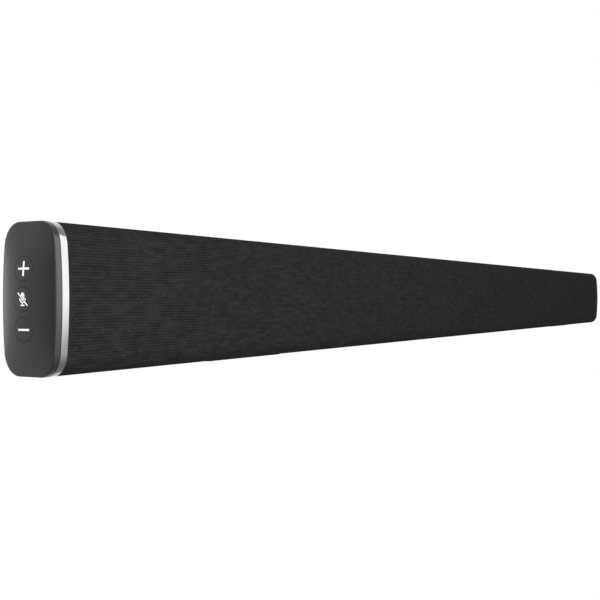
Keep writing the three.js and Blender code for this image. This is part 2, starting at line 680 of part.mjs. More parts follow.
addPiece(electronics, 'connector_bay', toGeometry(makeConnectorBay()), BLACK);
SOCKETS.forEach((socket) => {
  addPiece(electronics, socket.name, toGeometry(makeSocket(socket)), STEEL);
});

// Fixings

insertPlaces().forEach(([x, z], i) => {
  const sleeve = barY(INSERT.radius, REAR - INSERT.length, REAR, x, z);
  const bore = barY(INSERT.bore, REAR - INSERT.length - 1, REAR + 1, x, z);
  addPiece(fixings, `mount_insert_${i + 1}`, toGeometry(cutBy(sleeve, bore)), BRASS);
});

bossPlaces().forEach(([x, z], i) => {
  const screw = screwAlongY(x, z, REAR - SCREW.sunk, BAFFLE_FRONT);
  addPiece(fixings, `case_screw_${i + 1}`, toGeometry(screw), STEEL);
});

CARRIER_SCREW_Z.forEach((z, i) => {
  const { radius, head, headThick } = CARRIER_SCREW;
  const seat = CARRIER_FRONT - FIT;
  const tip = SHELL_LEFT + FIT + BULKHEAD;
  const screw = joined(barX(head, seat - headThick, seat, 0, z), barX(radius, seat - 0.5, tip, 0, z, 8));
  addPiece(fixings, `carrier_screw_${i + 1}`, toGeometry(screw), STEEL);
});

export default soundbar;
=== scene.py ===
"""Looks of a slim soundbar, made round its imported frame.

X runs along the bar, left to right as seen from the front. The front faces -Y and +Z is up. All sizes
are in metres. The left end has a domed cap with three push buttons and a bright trim ring, the front is
covered in corded grille cloth, and the rear housing carries the connectors, mounts and feet.
"""

import logging
import math
from collections.abc import Callable
from dataclasses import dataclass, field
from enum import Enum

import bmesh
import bpy
import numpy as np
from mathutils import Euler, Matrix, Vector


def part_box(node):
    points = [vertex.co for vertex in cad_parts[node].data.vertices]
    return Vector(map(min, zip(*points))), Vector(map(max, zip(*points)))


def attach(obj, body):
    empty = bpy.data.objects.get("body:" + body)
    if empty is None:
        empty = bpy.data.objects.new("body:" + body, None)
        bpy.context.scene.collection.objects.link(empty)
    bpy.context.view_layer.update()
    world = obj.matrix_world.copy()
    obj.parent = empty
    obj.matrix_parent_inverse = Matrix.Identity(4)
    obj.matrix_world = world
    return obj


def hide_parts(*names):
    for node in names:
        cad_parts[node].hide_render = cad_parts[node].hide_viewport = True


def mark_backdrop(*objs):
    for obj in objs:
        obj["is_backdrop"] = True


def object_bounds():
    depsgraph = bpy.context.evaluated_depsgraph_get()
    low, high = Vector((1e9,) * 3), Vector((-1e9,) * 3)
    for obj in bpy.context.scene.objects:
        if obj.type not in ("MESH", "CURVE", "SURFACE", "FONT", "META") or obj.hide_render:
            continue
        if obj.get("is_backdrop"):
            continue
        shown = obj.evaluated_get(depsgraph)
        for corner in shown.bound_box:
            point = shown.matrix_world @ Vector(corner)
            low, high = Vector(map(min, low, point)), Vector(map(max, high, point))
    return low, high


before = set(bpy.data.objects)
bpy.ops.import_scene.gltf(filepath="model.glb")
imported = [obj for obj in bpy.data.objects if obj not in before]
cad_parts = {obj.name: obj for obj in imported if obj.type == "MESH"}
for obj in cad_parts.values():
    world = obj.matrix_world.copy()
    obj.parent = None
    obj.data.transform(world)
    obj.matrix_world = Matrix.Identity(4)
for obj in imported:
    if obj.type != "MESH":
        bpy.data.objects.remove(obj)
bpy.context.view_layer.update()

LOG = logging.getLogger("soundbar")
MM = 0.001
WELD = 2e-6  # points closer than this are one point
SHARP_ANGLE = math.radians(38)


class Axis(Enum):
    """The line that a turned part is turned about."""

    X = "x"
    Y = "y"


class Cut(Enum):
    """What a tool does to the piece that it meets."""

    REMOVE = "DIFFERENCE"
    ADD = "UNION"
    KEEP_COMMON = "INTERSECT"


# ---- Lines and grids ----


def resampled(path: np.ndarray, count: int) -> np.ndarray:
    """Spreads points evenly along a path.

    Args:
        path: the path's points, one in each row.
        count: how many points to return, both ends included.

    Returns:
        `count` points, each at its equal share of the path's length.
    """
    steps = np.linalg.norm(np.diff(path, axis=0), axis=1)
    along = np.concatenate([[0.0], np.cumsum(steps)])
    wanted = np.linspace(0.0, along[-1], count)
    return np.stack([np.interp(wanted, along, path[:, k]) for k in range(path.shape[1])], axis=1)


def eased(corners: np.ndarray, radius: float, steps: int = 4) -> np.ndarray:
    """Rounds the inner corners of an open polyline.

    Each corner c becomes the curve (1-b)^2 p + 2b(1-b) c + b^2 q for b from 0 to 1, where p and q lie
    `radius` before and after it, or half way along a side that is too short.

    Args:
        corners: the polyline's points, one in each row.
        radius: how far before and after a corner its curve starts and ends.
        steps: how many spans each curve has.

    Returns:
        The polyline with curves for corners.
    """
    corners = np.asarray(corners, float)
    before, here, after = corners[:-2], corners[1:-1], corners[2:]
    back, ahead = before - here, after - here
    back_length = np.linalg.norm(back, axis=1, keepdims=True)
    ahead_length = np.linalg.norm(ahead, axis=1, keepdims=True)
    start = here + back / back_length * np.minimum(radius, back_length / 2)
    end = here + ahead / ahead_length * np.minimum(radius, ahead_length / 2)
    b = np.linspace(0.0, 1.0, steps + 1)[None, :, None]
    curves = (1 - b) ** 2 * start[:, None] + 2 * b * (1 - b) * here[:, None] + b**2 * end[:, None]
    return np.vstack([corners[:1], curves.reshape(-1, corners.shape[1]), corners[-1:]])


def rounded_rectangle(half_x: float, half_z: float, radius: float, corner_steps: int = 8) -> np.ndarray:
    """The outline of a rounded rectangle, clockwise from the top of its left side.

    Each corner is a quarter circle: centre + radius (cos t, sin t).

    Args:
        half_x: half its width.
        half_z: half its height.
        radius: the corners' radius.
        corner_steps: spans in each corner.

    Returns:
        Points (x, z), one in each row, with no point twice.
    """
    t = np.linspace(0.0, math.pi / 2, corner_steps + 1)
    starts = math.pi - np.arange(4) * math.pi / 2
    turn = starts[:, None] - t[None, :]
    centres = np.array([[-1, 1], [1, 1], [1, -1], [-1, -1]]) * [half_x - radius, half_z - radius]
    arcs = centres[:, None] + radius * np.stack([np.cos(turn), np.sin(turn)], axis=-1)
    return arcs.reshape(-1, 2)


def turned(profile: np.ndarray, centre: tuple[float, float], axis: Axis, count: int = 48) -> np.ndarray:
    """A surface of revolution: each profile point (radius, along) runs round the axis.

    The point at angle a is centre + radius (cos a, sin a) across the axis.

    Args:
        profile: points (radius, along the axis), one in each row.
        centre: where the axis crosses the plane across it: (x, z) for Y, (y, z) for X.
        axis: the axis.
        count: points round the axis.

    Returns:
        A grid of points, profile by angle, to be closed in its columns.
    """
    profile = np.asarray(profile, float)
    angle = np.linspace(0.0, 2 * math.pi, count, endpoint=False)
    across = centre[0] + profile[:, :1] * np.cos(angle)
    up = centre[1] + profile[:, :1] * np.sin(angle)
    along = np.broadcast_to(profile[:, 1:], across.shape)
    order = (across, along, up) if axis is Axis.Y else (along, across, up)
    return np.stack(order, axis=-1)


class Patchwork:
    """Patches of a closed surface, gathered as arrays and welded where their edges meet."""

    def __init__(self) -> None:
        """Starts with no patch."""
        self._points: list[np.ndarray] = []
        self._faces: list[list[int]] = []
        self._count = 0

    def grid(self, points: np.ndarray, close_rows: bool = False, close_columns: bool = False) -> "Patchwork":
        """Adds a grid of points as quads.

        Args:
            points: the grid, rows by columns by 3.
            close_rows: whether the last row joins the first.
            close_columns: whether the last column joins the first.

        Returns:
            This patchwork.
        """
        rows, columns = points.shape[:2]
        index = np.arange(rows * columns).reshape(rows, columns) + self._count
        if close_rows:
            index = np.vstack([index, index[:1]])
        if close_columns:
            index = np.hstack([index, index[:, :1]])
        quads = np.stack([index[:-1, :-1], index[1:, :-1], index[1:, 1:], index[:-1, 1:]], axis=-1)
        self._points.append(points.reshape(-1, 3))
        self._faces.extend(quads.reshape(-1, 4).tolist())
        self._count += rows * columns
        return self

    def polygon(self, loop: np.ndarray) -> "Patchwork":
        """Adds one flat face through the points of a loop."""
        self._points.append(loop)
        self._faces.append(list(range(self._count, self._count + len(loop))))
        self._count += len(loop)
        return self

    def bridged(self, faces: list[list[int]]) -> "Patchwork":
        """Adds faces between points that are already here, each a list of their numbers."""
        self._faces.extend(faces)
        return self

    def piece(self, name: str, uv: np.ndarray | None = None) -> bpy.types.Object:
        """Makes the piece: its edges welded, its faces pointing outwards, smooth up to SHARP_ANGLE.

        Args:
            name: the piece's name.
            uv: one (u, v) for each point, in which case nothing is welded.

        Returns:
            The new object, linked to the scene, at the origin.
        """
        mesh = bpy.data.meshes.new(name)
        points = np.vstack(self._points)
        mesh.from_pydata(points.tolist(), [], self._faces)
        if uv is not None:
            corner = np.zeros(len(mesh.loops), np.int32)
            mesh.loops.foreach_get("vertex_index", corner)
            mesh.uv_layers.new(name="UVMap").data.foreach_set("uv", uv[corner].astype(np.float32).ravel())
        edit = bmesh.new()
        edit.from_mesh(mesh)
        if uv is None:
            bmesh.ops.remove_doubles(edit, verts=edit.verts, dist=WELD)
        bmesh.ops.recalc_face_normals(edit, faces=edit.faces)
        edit.to_mesh(mesh)
        edit.free()
        piece = bpy.data.objects.new(name, mesh)
        bpy.context.scene.collection.objects.link(piece)
        return smoothed(piece)


def smoothed(piece: bpy.types.Object) -> bpy.types.Object:
    """Shades the piece smooth, with its edges sharper than SHARP_ANGLE left crisp."""
    piece.data.shade_smooth()
    piece.data.set_sharp_from_angle(angle=SHARP_ANGLE)
    return piece


def settled(piece: bpy.types.Object) -> bpy.types.Object:
    """Turns the piece's modifiers into plain mesh."""
    graph = bpy.context.evaluated_depsgraph_get()
    mesh = bpy.data.meshes.new_from_object(piece.evaluated_get(graph))
    old, piece.data = piece.data, mesh
    piece.modifiers.clear()
    bpy.data.meshes.remove(old)
    mesh.name = piece.name
    return smoothed(piece)


def carved(piece: bpy.types.Object, tool: bpy.types.Object, cut: Cut = Cut.REMOVE) -> bpy.types.Object:
    """Cuts or joins the piece with a tool, which is used up.

    Args:
        piece: the piece to change.
        tool: a closed mesh, or several in one.
        cut: what the tool does.

    Returns:
        The piece.
    """
    modifier = piece.modifiers.new("carve", "BOOLEAN")
    modifier.operation = cut.value
    modifier.solver = "MANIFOLD"
    modifier.object = tool
    settled(piece)
    bpy.data.objects.remove(tool)
    return piece


def copied(piece: bpy.types.Object, name: str, offset: tuple[float, float, float]) -> bpy.types.Object:
    """A copy of the piece, with the offset put into its mesh."""
    mesh = piece.data.copy()
    mesh.name = name
    mesh.transform(Matrix.Translation(offset))
    twin = bpy.data.objects.new(name, mesh)
    bpy.context.scene.collection.objects.link(twin)
    return twin


# ---- The body's section and its domes ----


@dataclass(frozen=True)
class Flank:
    """The front or the back of the section: how far it swells, and the half axes of its rounded edges."""

    swell: float
    edge_y: float
    edge_z: float


@dataclass(frozen=True)
class Section:
    """The body's outline in the (y, z) plane about its axis.

    The front and the back swell on a parabola, z -> swell (z / top)^2, and run smoothly into elliptical
    edges; the top and the underside are straight.
    """

    depth: float
    height: float
    axis_z: float
    front: Flank = Flank(1.1 * MM, 9.9 * MM, 13.2 * MM)
    rear: Flank = Flank(1.1 * MM, 10.6 * MM, 13.4 * MM)
    fineness: int = 48

    def flank(self, side: Flank, inset: float) -> np.ndarray:
        """One side from mid height to the top: distances from the middle plane, and heights.

        Args:
            side: the side.
            inset: how far inside the skin it runs.

        Returns:
            Points (distance, height), finely spaced.
        """
        half_y, half_z = self.depth / 2 - inset, self.height / 2 - inset
        edge_y, edge_z = side.edge_y - inset, side.edge_z - inset
        slope = 2 * side.swell / (self.height / 2 - side.edge_z)
        start = math.atan(slope * edge_z / edge_y)
        top = half_z - edge_z * (1 - math.sin(start))
        swell = slope * top / 2
        z = np.linspace(0.0, top, self.fineness)
        face = np.stack([half_y - swell * (z / top) ** 2, z], axis=1)
        t = np.linspace(start, math.pi / 2, self.fineness)[1:]
        bend_y = half_y - swell - edge_y * (math.cos(start) - np.cos(t))
        return np.vstack([face, np.stack([bend_y, half_z - edge_z * (1 - np.sin(t))], axis=1)])

    def upper(self, inset: float) -> np.ndarray:
        """The upper half of the outline, from the middle of the front over the top to the middle of the back.

        Args:
            inset: how far inside the skin it runs.

        Returns:
            Points (y, z), finely spaced, with z measured from the axis.
        """
        return np.vstack([self.flank(self.front, inset) * [-1, 1], self.flank(self.rear, inset)[::-1]])

    def loop(self, inset: float, count: int) -> np.ndarray:
        """The whole outline as `count` even points (y, z), from the middle of the front over the top."""
        upper = self.upper(inset)
        whole = np.vstack([upper, upper[::-1][1:] * [1, -1]])
        return resampled(whole, count + 1)[:-1]

    def behind(self, inset: float, top: float, bottom: float) -> np.ndarray:
        """The outline from y = top on the top side, round the back, to y = bottom on the underside."""
        upper = self.upper(inset)
        halves = []
        for limit in (top, bottom):
            edge = [[limit, np.interp(limit, upper[:, 0], upper[:, 1])]]
            halves.append(np.vstack([edge, upper[upper[:, 0] > limit + WELD]]))
        return np.vstack([halves[0], halves[1][::-1][1:] * [1, -1]])

    def ahead(self, inset: float, top: float, bottom: float) -> np.ndarray:
        """The outline from y = bottom on the underside, round the front, to y = top on the top side."""
        upper = self.upper(inset)
        halves = []
        for limit in (top, bottom):
            edge = [[limit, np.interp(limit, upper[:, 0], upper[:, 1])]]
            halves.append(np.vstack([upper[upper[:, 0] < limit - WELD], edge]))
        return np.vstack([halves[1][::-1] * [1, -1], halves[0][1:]])

    def placed(self, x: np.ndarray | float, outline: np.ndarray) -> np.ndarray:
        """Puts outline points (y, z) into space at x, with z from the ground."""
        x = np.broadcast_to(np.asarray(x, float), outline.shape[:-1])
        return np.stack([x, outline[..., 0], outline[..., 1] + self.axis_z], axis=-1)

    def swept(self, profile: np.ndarray, count: int) -> np.ndarray:
        """Carries a profile of (x, inset) points round the outline, as a grid to be closed in its columns."""
        return np.stack([self.placed(x, self.loop(inset, count)) for x, inset in profile])


@dataclass(frozen=True)
class Dome:
    """The swelling end of a cap.

    A point at share s of the way from the axis to the rim stands sag (1 - s^2) beyond the rim's plane. The
    section's outline turns into an ellipse towards the tip: in the direction a, the share s reaches out to
    s ((1 - s^2) ellipse(a) + s^2 outline(a)).
    """

    section: Section
    rim_x: float
    tip_x: float

    def share(self, y: np.ndarray, z: np.ndarray) -> np.ndarray:
        """The share s at section points (y, z), found by halving the interval until it is exact."""
        outline = self.section.loop(0.0, 720)
        angle = np.arctan2(outline[:, 1], outline[:, 0])
        way = np.arctan2(z, y)
        straight = np.interp(way, angle, np.linalg.norm(outline, axis=1), period=2 * math.pi)
        half_y, half_z = self.section.depth / 2, self.section.height / 2
        oval = 1 / np.hypot(np.cos(way) / half_y, np.sin(way) / half_z)
        reach = np.hypot(y, z)
        low, high = np.zeros_like(reach), np.full_like(reach, 1.2)
        for _ in range(40):
            middle = (low + high) / 2
            short = middle * ((1 - middle**2) * oval + middle**2 * straight) < reach
            low, high = np.where(short, middle, low), np.where(short, high, middle)
        return (low + high) / 2

    def lifted(self, outline: np.ndarray, sunk: np.ndarray | float = 0.0) -> np.ndarray:
        """Section points (y, z) put onto the dome, or `sunk` below it, in space."""
        share = self.share(outline[..., 0], outline[..., 1])
        x = self.rim_x + (self.tip_x - self.rim_x) * (1 - share**2)
        inward = math.copysign(1.0, self.rim_x - self.tip_x)
        return self.section.placed(x + inward * sunk, outline)


# ---- Finishes ----


class Nodes:
    """A node tree, with short ways to add nodes and link them."""

    def __init__(self, tree: bpy.types.NodeTree) -> None:
        """Takes the tree that the nodes go into."""
        self.tree = tree

    def node(self, kind: str, inputs: dict | None = None, **settings: object) -> bpy.types.Node:
        """Adds a node.

        Args:
            kind: Blender's name for the node's type, without its ShaderNode prefix.
            inputs: the value, or the socket to link, for each input by its name or number.
            settings: the node's own properties.

        Returns:
            The node.
        """
        made = self.tree.nodes.new("ShaderNode" + kind)
        for key, value in settings.items():
            setattr(made, key, value)
        for key, value in (inputs or {}).items():
            self.feed(made, key, value)
        return made

    def feed(self, node: bpy.types.Node, key: str | int, value: object) -> None:
        """Sets an input to a value, or links a socket to it."""
        if isinstance(value, bpy.types.NodeSocket):
            self.tree.links.new(value, node.inputs[key])
        else:
            node.inputs[key].default_value = value

    def math(self, operation: str, first: object, second: object = 0.0) -> bpy.types.NodeSocket:
        """The result of a sum on two numbers or sockets."""
        return self.node("Math", {0: first, 1: second}, operation=operation).outputs[0]

    def product(self, *factors: object) -> bpy.types.NodeSocket:
        """The product of two or more numbers or sockets."""
        result = factors[0]
        for factor in factors[1:]:
            result = self.math("MULTIPLY", result, factor)
        return result


class Graph(Nodes):
    """The nodes of one finish, round its main shader."""

    def __init__(self, name: str) -> None:
        """Makes the material and its shader.

        Args:
            name: the material's name.
        """
        self.material = bpy.data.materials.new(name)
        self.material.use_nodes = True
        super().__init__(self.material.node_tree)
        self.shader = self.tree.nodes["Principled BSDF"]

    def shade(self, **inputs: object) -> None:
        """Sets or links the shader's inputs; an underscore in a name stands for a space."""
        for key, value in inputs.items():
            self.feed(self.shader, key.replace("_", " "), value)

    def stretched(self, where: object, stretch: tuple[float, float, float]) -> bpy.types.NodeSocket:
        """Points stretched along each axis."""
        return self.node("Mapping", {"Vector": where, "Scale": stretch}).outputs[0]

    def place(self, stretch: tuple[float, float, float] = (1.0, 1.0, 1.0)) -> bpy.types.NodeSocket:
        """Points on the object in metres, stretched along each axis."""
        return self.stretched(self.node("TexCoord").outputs["Object"], stretch)

    def noise(self, where: object, size: float, detail: float = 2.0) -> bpy.types.NodeSocket:
        """Soft noise from 0 to 1, with spots about `size` metres across."""
        inputs = {"Vector": where, "Scale": 1 / size, "Detail": detail, "Roughness": 0.55}
        return self.node("TexNoise", inputs).outputs[0]

    def cells(self, where: object, size: float) -> bpy.types.Node:
        """Cells about `size` metres across."""
        return self.node("TexVoronoi", {"Vector": where, "Scale": 1 / size})

    def lucky(self, cells: bpy.types.Node, channel: int, share: float) -> bpy.types.NodeSocket:
        """1 in about `share` of the cells and 0 in the rest, by one channel of each cell's own colour."""
        colour = self.node("SeparateColor", {0: cells.outputs["Color"]}).outputs[channel]
        return self.math("GREATER_THAN", colour, 1 - share)

    def between(self, value: object, low: float, high: float, source: tuple = (0.3, 0.7)) -> object:
        """Carries a value from the source range to the range from low to high."""
        inputs = {0: value, 1: source[0], 2: source[1], 3: low, 4: high}
        return self.node("MapRange", inputs).outputs[0]

    def tinted(self, colour: tuple[float, float, float], factor: object) -> bpy.types.NodeSocket:
        """A colour times a factor that varies over the surface."""
        return self.node("VectorMath", {0: colour, "Scale": factor}, operation="SCALE").outputs[0]

    def blended(self, share: object, first: object, second: object) -> bpy.types.NodeSocket:
        """A colour between two colours or sockets, by share."""
        sockets = [(*c, 1.0) if isinstance(c, tuple) else c for c in (first, second)]
        node = self.node("Mix", data_type="RGBA")
        for socket, value in zip((node.inputs[0], node.inputs[6], node.inputs[7]), (share, *sockets)):
            if isinstance(value, bpy.types.NodeSocket):
                self.tree.links.new(value, socket)
            else:
                socket.default_value = value
        return node.outputs[2]

    def relief(self, height: object, depth: float, under: object = None) -> bpy.types.NodeSocket:
        """A bumpy normal.

        Args:
            height: heights from 0 to 1.
            depth: how many metres 1 stands for.
            under: a normal that this one goes over.

        Returns:
            The normal's socket.
        """
        inputs = {"Height": height, "Distance": depth, "Strength": 1.0}
        if under is not None:
            inputs["Normal"] = under
        return self.node("Bump", inputs).outputs[0]


@dataclass(frozen=True)
class Finish:
    """A named finish for one material slot of the record."""

    name: str
    slot: str
    colour: tuple[float, float, float]

    def material(self) -> bpy.types.Material:
        """The finish's material, made once."""
        found = bpy.data.materials.get(self.name)
        if found is None:
            graph = Graph(self.name)
            self.paint(graph)
            graph.material.diffuse_color = (*self.colour, 1.0)
            found = graph.material
        return found

    def paint(self, graph: Graph) -> None:
        """Adds the finish's own nodes."""
        raise NotImplementedError


@dataclass(frozen=True)
class Moulded(Finish):
    """Moulded or painted plastic and rubber: a fine grain, faint mottling and uneven gloss."""

    roughness: float = 0.45
    grain: float = 0.35 * MM
    grain_depth: float = 0.006 * MM
    mottle: float = 0.06
    ior: float = 1.5

    def paint(self, graph: Graph) -> None:
        """Grain in the normal, mottling in the colour, and patches of gloss."""
        where = graph.place()
        patches = graph.noise(where, 14 * MM, 3.0)
        fine = graph.noise(where, self.grain, 3.0)
        factor = graph.product(graph.between(patches, 1 - self.mottle, 1 + self.mottle),
                               graph.between(fine, 1 - self.mottle / 2, 1 + self.mottle / 2))
        graph.shade(
            Base_Color=graph.tinted(self.colour, factor),
            Roughness=graph.between(patches, self.roughness - 0.02, self.roughness + 0.03),
            IOR=self.ior,
            Normal=graph.relief(fine, self.grain_depth),
        )


@dataclass(frozen=True)
class Metal(Finish):
    """Plated, turned or brushed metal: a fine lay in one direction, or none, and a few dull patches."""

    roughness: float = 0.2
    lay: tuple[float, float, float] = (1.0, 1.0, 1.0)
    lay_size: float = 0.3 * MM
    lay_depth: float = 0.0
    uneven: float = 0.03

    def paint(self, graph: Graph) -> None:
        """Patches in the colour and gloss, and the lay in the gloss and the normal."""
        patches = graph.noise(graph.place(), 9 * MM, 3.0)
        lines = graph.noise(graph.place(self.lay), self.lay_size, 2.0)
        both = graph.math("ADD", graph.product(patches, 0.5), graph.product(lines, 0.5))
        graph.shade(
            Base_Color=graph.tinted(self.colour, graph.between(patches, 0.97, 1.02)),
            Roughness=graph.between(both, self.roughness, self.roughness + self.uneven),
            Metallic=1.0,
        )
        if self.lay_depth:
            graph.shade(Normal=graph.relief(lines, self.lay_depth))


@dataclass(frozen=True)
class GrilleCloth(Finish):
    """Corded acoustic cloth, read from its UV map: u runs along the cords and v across them, in metres."""

    cord: float = 1.6 * MM
    thread: float = 0.62 * MM
    streak: float = 11 * MM
    unlike: float = 7.31  # how far apart in the streaks' noise two neighbouring cords are
    fibre: float = 0.18 * MM
    patch: float = 60 * MM
    fleck_cell: float = 1.7 * MM
    fleck: tuple[float, float, float] = (0.17, 0.17, 0.175)
    relief_depth: float = 0.05 * MM

    def paint(self, graph: Graph) -> None:
        """Each cord has its own light and dark streaks, cross threads, painted shade that darkens its edges
        in the grooves between cords, and rare pale flecks.
        """
        parts = graph.node("SeparateXYZ", {0: graph.node("TexCoord").outputs["UV"]})
        along, across = parts.outputs[0], parts.outputs[1]
        cords = graph.math("DIVIDE", across, self.cord)
        number = graph.math("FLOOR", cords)
        apart = graph.product(number, self.unlike)
        streak_at = graph.node("CombineXYZ", {0: graph.math("DIVIDE", along, self.streak), 1: apart})
        inputs = {"Vector": streak_at.outputs[0], "Scale": 1.0, "Detail": 3.0}
        streaks = graph.node("TexNoise", inputs).outputs[0]
        crown = graph.math("SINE", graph.product(graph.math("FRACT", cords), math.pi))
        turn = graph.math("ADD", graph.math("DIVIDE", along, self.thread), graph.product(number, 0.5))
        threads = graph.math("ABSOLUTE", graph.math("SINE", graph.product(turn, math.pi)))
        uv = graph.node("CombineXYZ", {0: along, 1: across}).outputs[0]
        fibres = graph.noise(graph.stretched(uv, (0.45, 1.0, 1.0)), self.fibre, 3.0)
        patches = graph.noise(uv, self.patch, 2.0)
        # painted shade: the colour darkens towards each cord's edges, in the grooves between cords, less so
        # on the light streaks
        groove = graph.product(graph.between(crown, 1.0, 0.0, (0.0, 0.7)),
                               graph.between(streaks, 0.9, 0.1, (0.4, 0.62)))
        factor = graph.product(
            graph.between(streaks, 0.88, 1.18),
            graph.between(patches, 0.96, 1.04),
            graph.math("SUBTRACT", 1.06, groove),
            graph.between(threads, 0.9, 1.06, (0.0, 1.0)),
            graph.between(fibres, 0.86, 1.14),
        )
        spots = graph.cells(graph.stretched(uv, (0.5, 1.0, 1.0)), self.fleck_cell)
        near = graph.between(spots.outputs["Distance"], 1.0, 0.0, (0.05, 0.2))
        flecks = graph.product(graph.lucky(spots, 0, 0.14), near, 0.3)
        height = graph.math("ADD", graph.product(threads, 0.6), graph.product(fibres, 0.8))
        graph.shade(
            Base_Color=graph.blended(flecks, graph.tinted(self.colour, factor), self.fleck),
            Roughness=0.95,
            Specular_IOR_Level=0.1,
            Normal=graph.relief(height, self.relief_depth),
        )


@dataclass(frozen=True)
class CircuitBoard(Finish):
    """Solder mask over copper: a maze of faint tracks and small tinned pads."""

    track: float = 1.9 * MM
    copper: tuple[float, float, float] = (0.05, 0.13, 0.07)
    tin: tuple[float, float, float] = (0.55, 0.54, 0.50)

    def paint(self, graph: Graph) -> None:
        """Tracks follow the edges of square cells, and pads sit at the middles of some of them."""
        where = graph.place()
        inputs = {"Vector": where, "Scale": 1 / self.track, "Randomness": 0.55}
        maze = graph.node("TexVoronoi", inputs, distance="CHEBYCHEV", feature="F2").outputs["Distance"]
        tracks = graph.between(graph.math("SINE", graph.product(maze, 14.0)), 0.0, 1.0, (0.1, 0.4))
        cells = graph.cells(where, self.track * 1.7)
        near = graph.math("LESS_THAN", cells.outputs["Distance"], 0.22)
        pads = graph.product(graph.lucky(cells, 1, 0.2), near)
        mask = graph.blended(tracks, self.colour, self.copper)
        graph.shade(
            Base_Color=graph.blended(pads, mask, self.tin),
            Roughness=graph.between(tracks, 0.38, 0.3, (0.0, 1.0)),
            Normal=graph.relief(tracks, 0.04 * MM),
        )


@dataclass(frozen=True)
class PressedPaper(Finish):
    """Pressed paper pulp of a cone or dome, with long fibres."""

    def paint(self, graph: Graph) -> None:
        """Fibres and clots in the colour, the gloss and the normal."""
        fibres = graph.noise(graph.place((1.0, 0.35, 0.6)), 0.5 * MM, 4.0)
        clots = graph.noise(graph.place(), 3 * MM, 3.0)
        factor = graph.product(graph.between(fibres, 0.75, 1.3), graph.between(clots, 0.9, 1.1))
        graph.shade(
            Base_Color=graph.tinted(self.colour, factor),
            Roughness=graph.between(clots, 0.72, 0.86),
            Normal=graph.relief(fibres, 0.05 * MM),
        )


CLOTH = GrilleCloth("charcoal_grille_cloth", "grille_cloth", (0.0167, 0.0167, 0.0172))
CHARCOAL = Moulded("satin_charcoal_paint", "charcoal_cap", (0.0145, 0.0146, 0.015), 0.2,
                   grain=0.25 * MM, grain_depth=0.0015 * MM, mottle=0.05, ior=2.1)
BLACK = Moulded("grained_black_plastic", "black_plastic", (0.017, 0.017, 0.018), 0.5,
                grain=0.45 * MM, grain_depth=0.02 * MM)
RUBBER = Moulded("foot_rubber", "foot_rubber", (0.012, 0.012, 0.012), 0.78,
                 grain=0.6 * MM, grain_depth=0.03 * MM, mottle=0.1)
WHITE = Moulded("white_marking_ink", "charcoal_cap", (0.92, 0.92, 0.92), 0.5,
                grain=0.2 * MM, grain_depth=0.001 * MM, mottle=0.02)
CHROME = Metal("polished_trim_plating", "bright_trim", (0.93, 0.93, 0.94), 0.05)
STEEL = Metal("zinc_plated_steel", "steel", (0.56, 0.57, 0.58), 0.3, uneven=0.1)
BRASS = Metal("turned_brass", "brass", (0.68, 0.48, 0.2), 0.28, (1.0, 0.1, 1.0), uneven=0.1)
SPREADER = Metal("brushed_aluminium", "heat_spreader", (0.62, 0.63, 0.65), 0.34, (0.04, 1.0, 1.0),
                 lay_size=0.12 * MM, lay_depth=0.004 * MM, uneven=0.12)
BASKET = Moulded("pressed_basket_enamel", "black_plastic", (0.022, 0.022, 0.024), 0.35,
                 grain=0.6 * MM, grain_depth=0.01 * MM)
SWITCH = Metal("switch_case_steel", "steel", (0.5, 0.51, 0.52), 0.35, (1.0, 0.2, 1.0), uneven=0.12)
PAPER = PressedPaper("black_cone_paper", "cone", (0.02, 0.02, 0.021))
BOARD = CircuitBoard("green_circuit_board", "circuit_board", (0.012, 0.055, 0.03))


def dressed(piece: bpy.types.Object, finish: Finish, body: str, *nodes: str) -> bpy.types.Object:
    """Gives a piece its finish and its body, and lets it stand for CAD nodes.

    Args:
        piece: the piece.
        finish: what it is finished in.
        body: the body that it moves with.
        nodes: the CAD nodes that it replaces.

    Returns:
        The piece.
    """
    piece.data.materials.clear()
    piece.data.materials.append(finish.material())
    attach(piece, body)
    if nodes:
        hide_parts(*nodes)
    LOG.info("%s: %d faces in %s, on %s", piece.name, len(piece.data.polygons), finish.name, body)
    return piece


# ---- Sub-assemblies ----


def span(node: str, axis: int) -> tuple[float, float]:
    """Where a CAD node starts and ends along an axis, 0 for x, 1 for y and 2 for z."""
    low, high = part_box(node)
    return low[axis], high[axis]


def middle_xz(node: str) -> tuple[float, float]:
    """The middle of a CAD node along the bar and upwards, (x, z)."""
    low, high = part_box(node)
    return (low.x + high.x) / 2, (low.z + high.z) / 2


def half_xz(node: str, wider: float = 0.0) -> tuple[float, float]:
    """Half a CAD node's width and height, each made wider by the same amount."""
    low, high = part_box(node)
    return (high.x - low.x) / 2 + wider, (high.z - low.z) / 2 + wider


def body_section() -> Section:
    """The section of the whole body, sized from the trim ring, which goes right round it."""
    front, rear = span("left_trim_ring", 1)
    bottom, top = span("left_trim_ring", 2)
    return Section(depth=rear - front, height=top - bottom, axis_z=(top + bottom) / 2)


SECTION = body_section()
FIT = 0.3 * MM  # gap between two pieces that meet
SOCKET_DEEP = 7 * MM  # how far a socket's mouth reaches in
FLARE = 0.3 * MM  # how far a bore's mouth opens before and after the skin
SEAM_UNDERNEATH = 10.9 * MM  # from the front back to the cloth's seam on the underside
FEET = ("left_foot", "right_foot")


class SubAssembly:
    """Pieces that are built and dressed together."""

    def build(self) -> None:
        """Makes the meshes."""
        raise NotImplementedError

    def dress(self) -> None:
        """Gives each piece its finish and body."""
        raise NotImplementedError


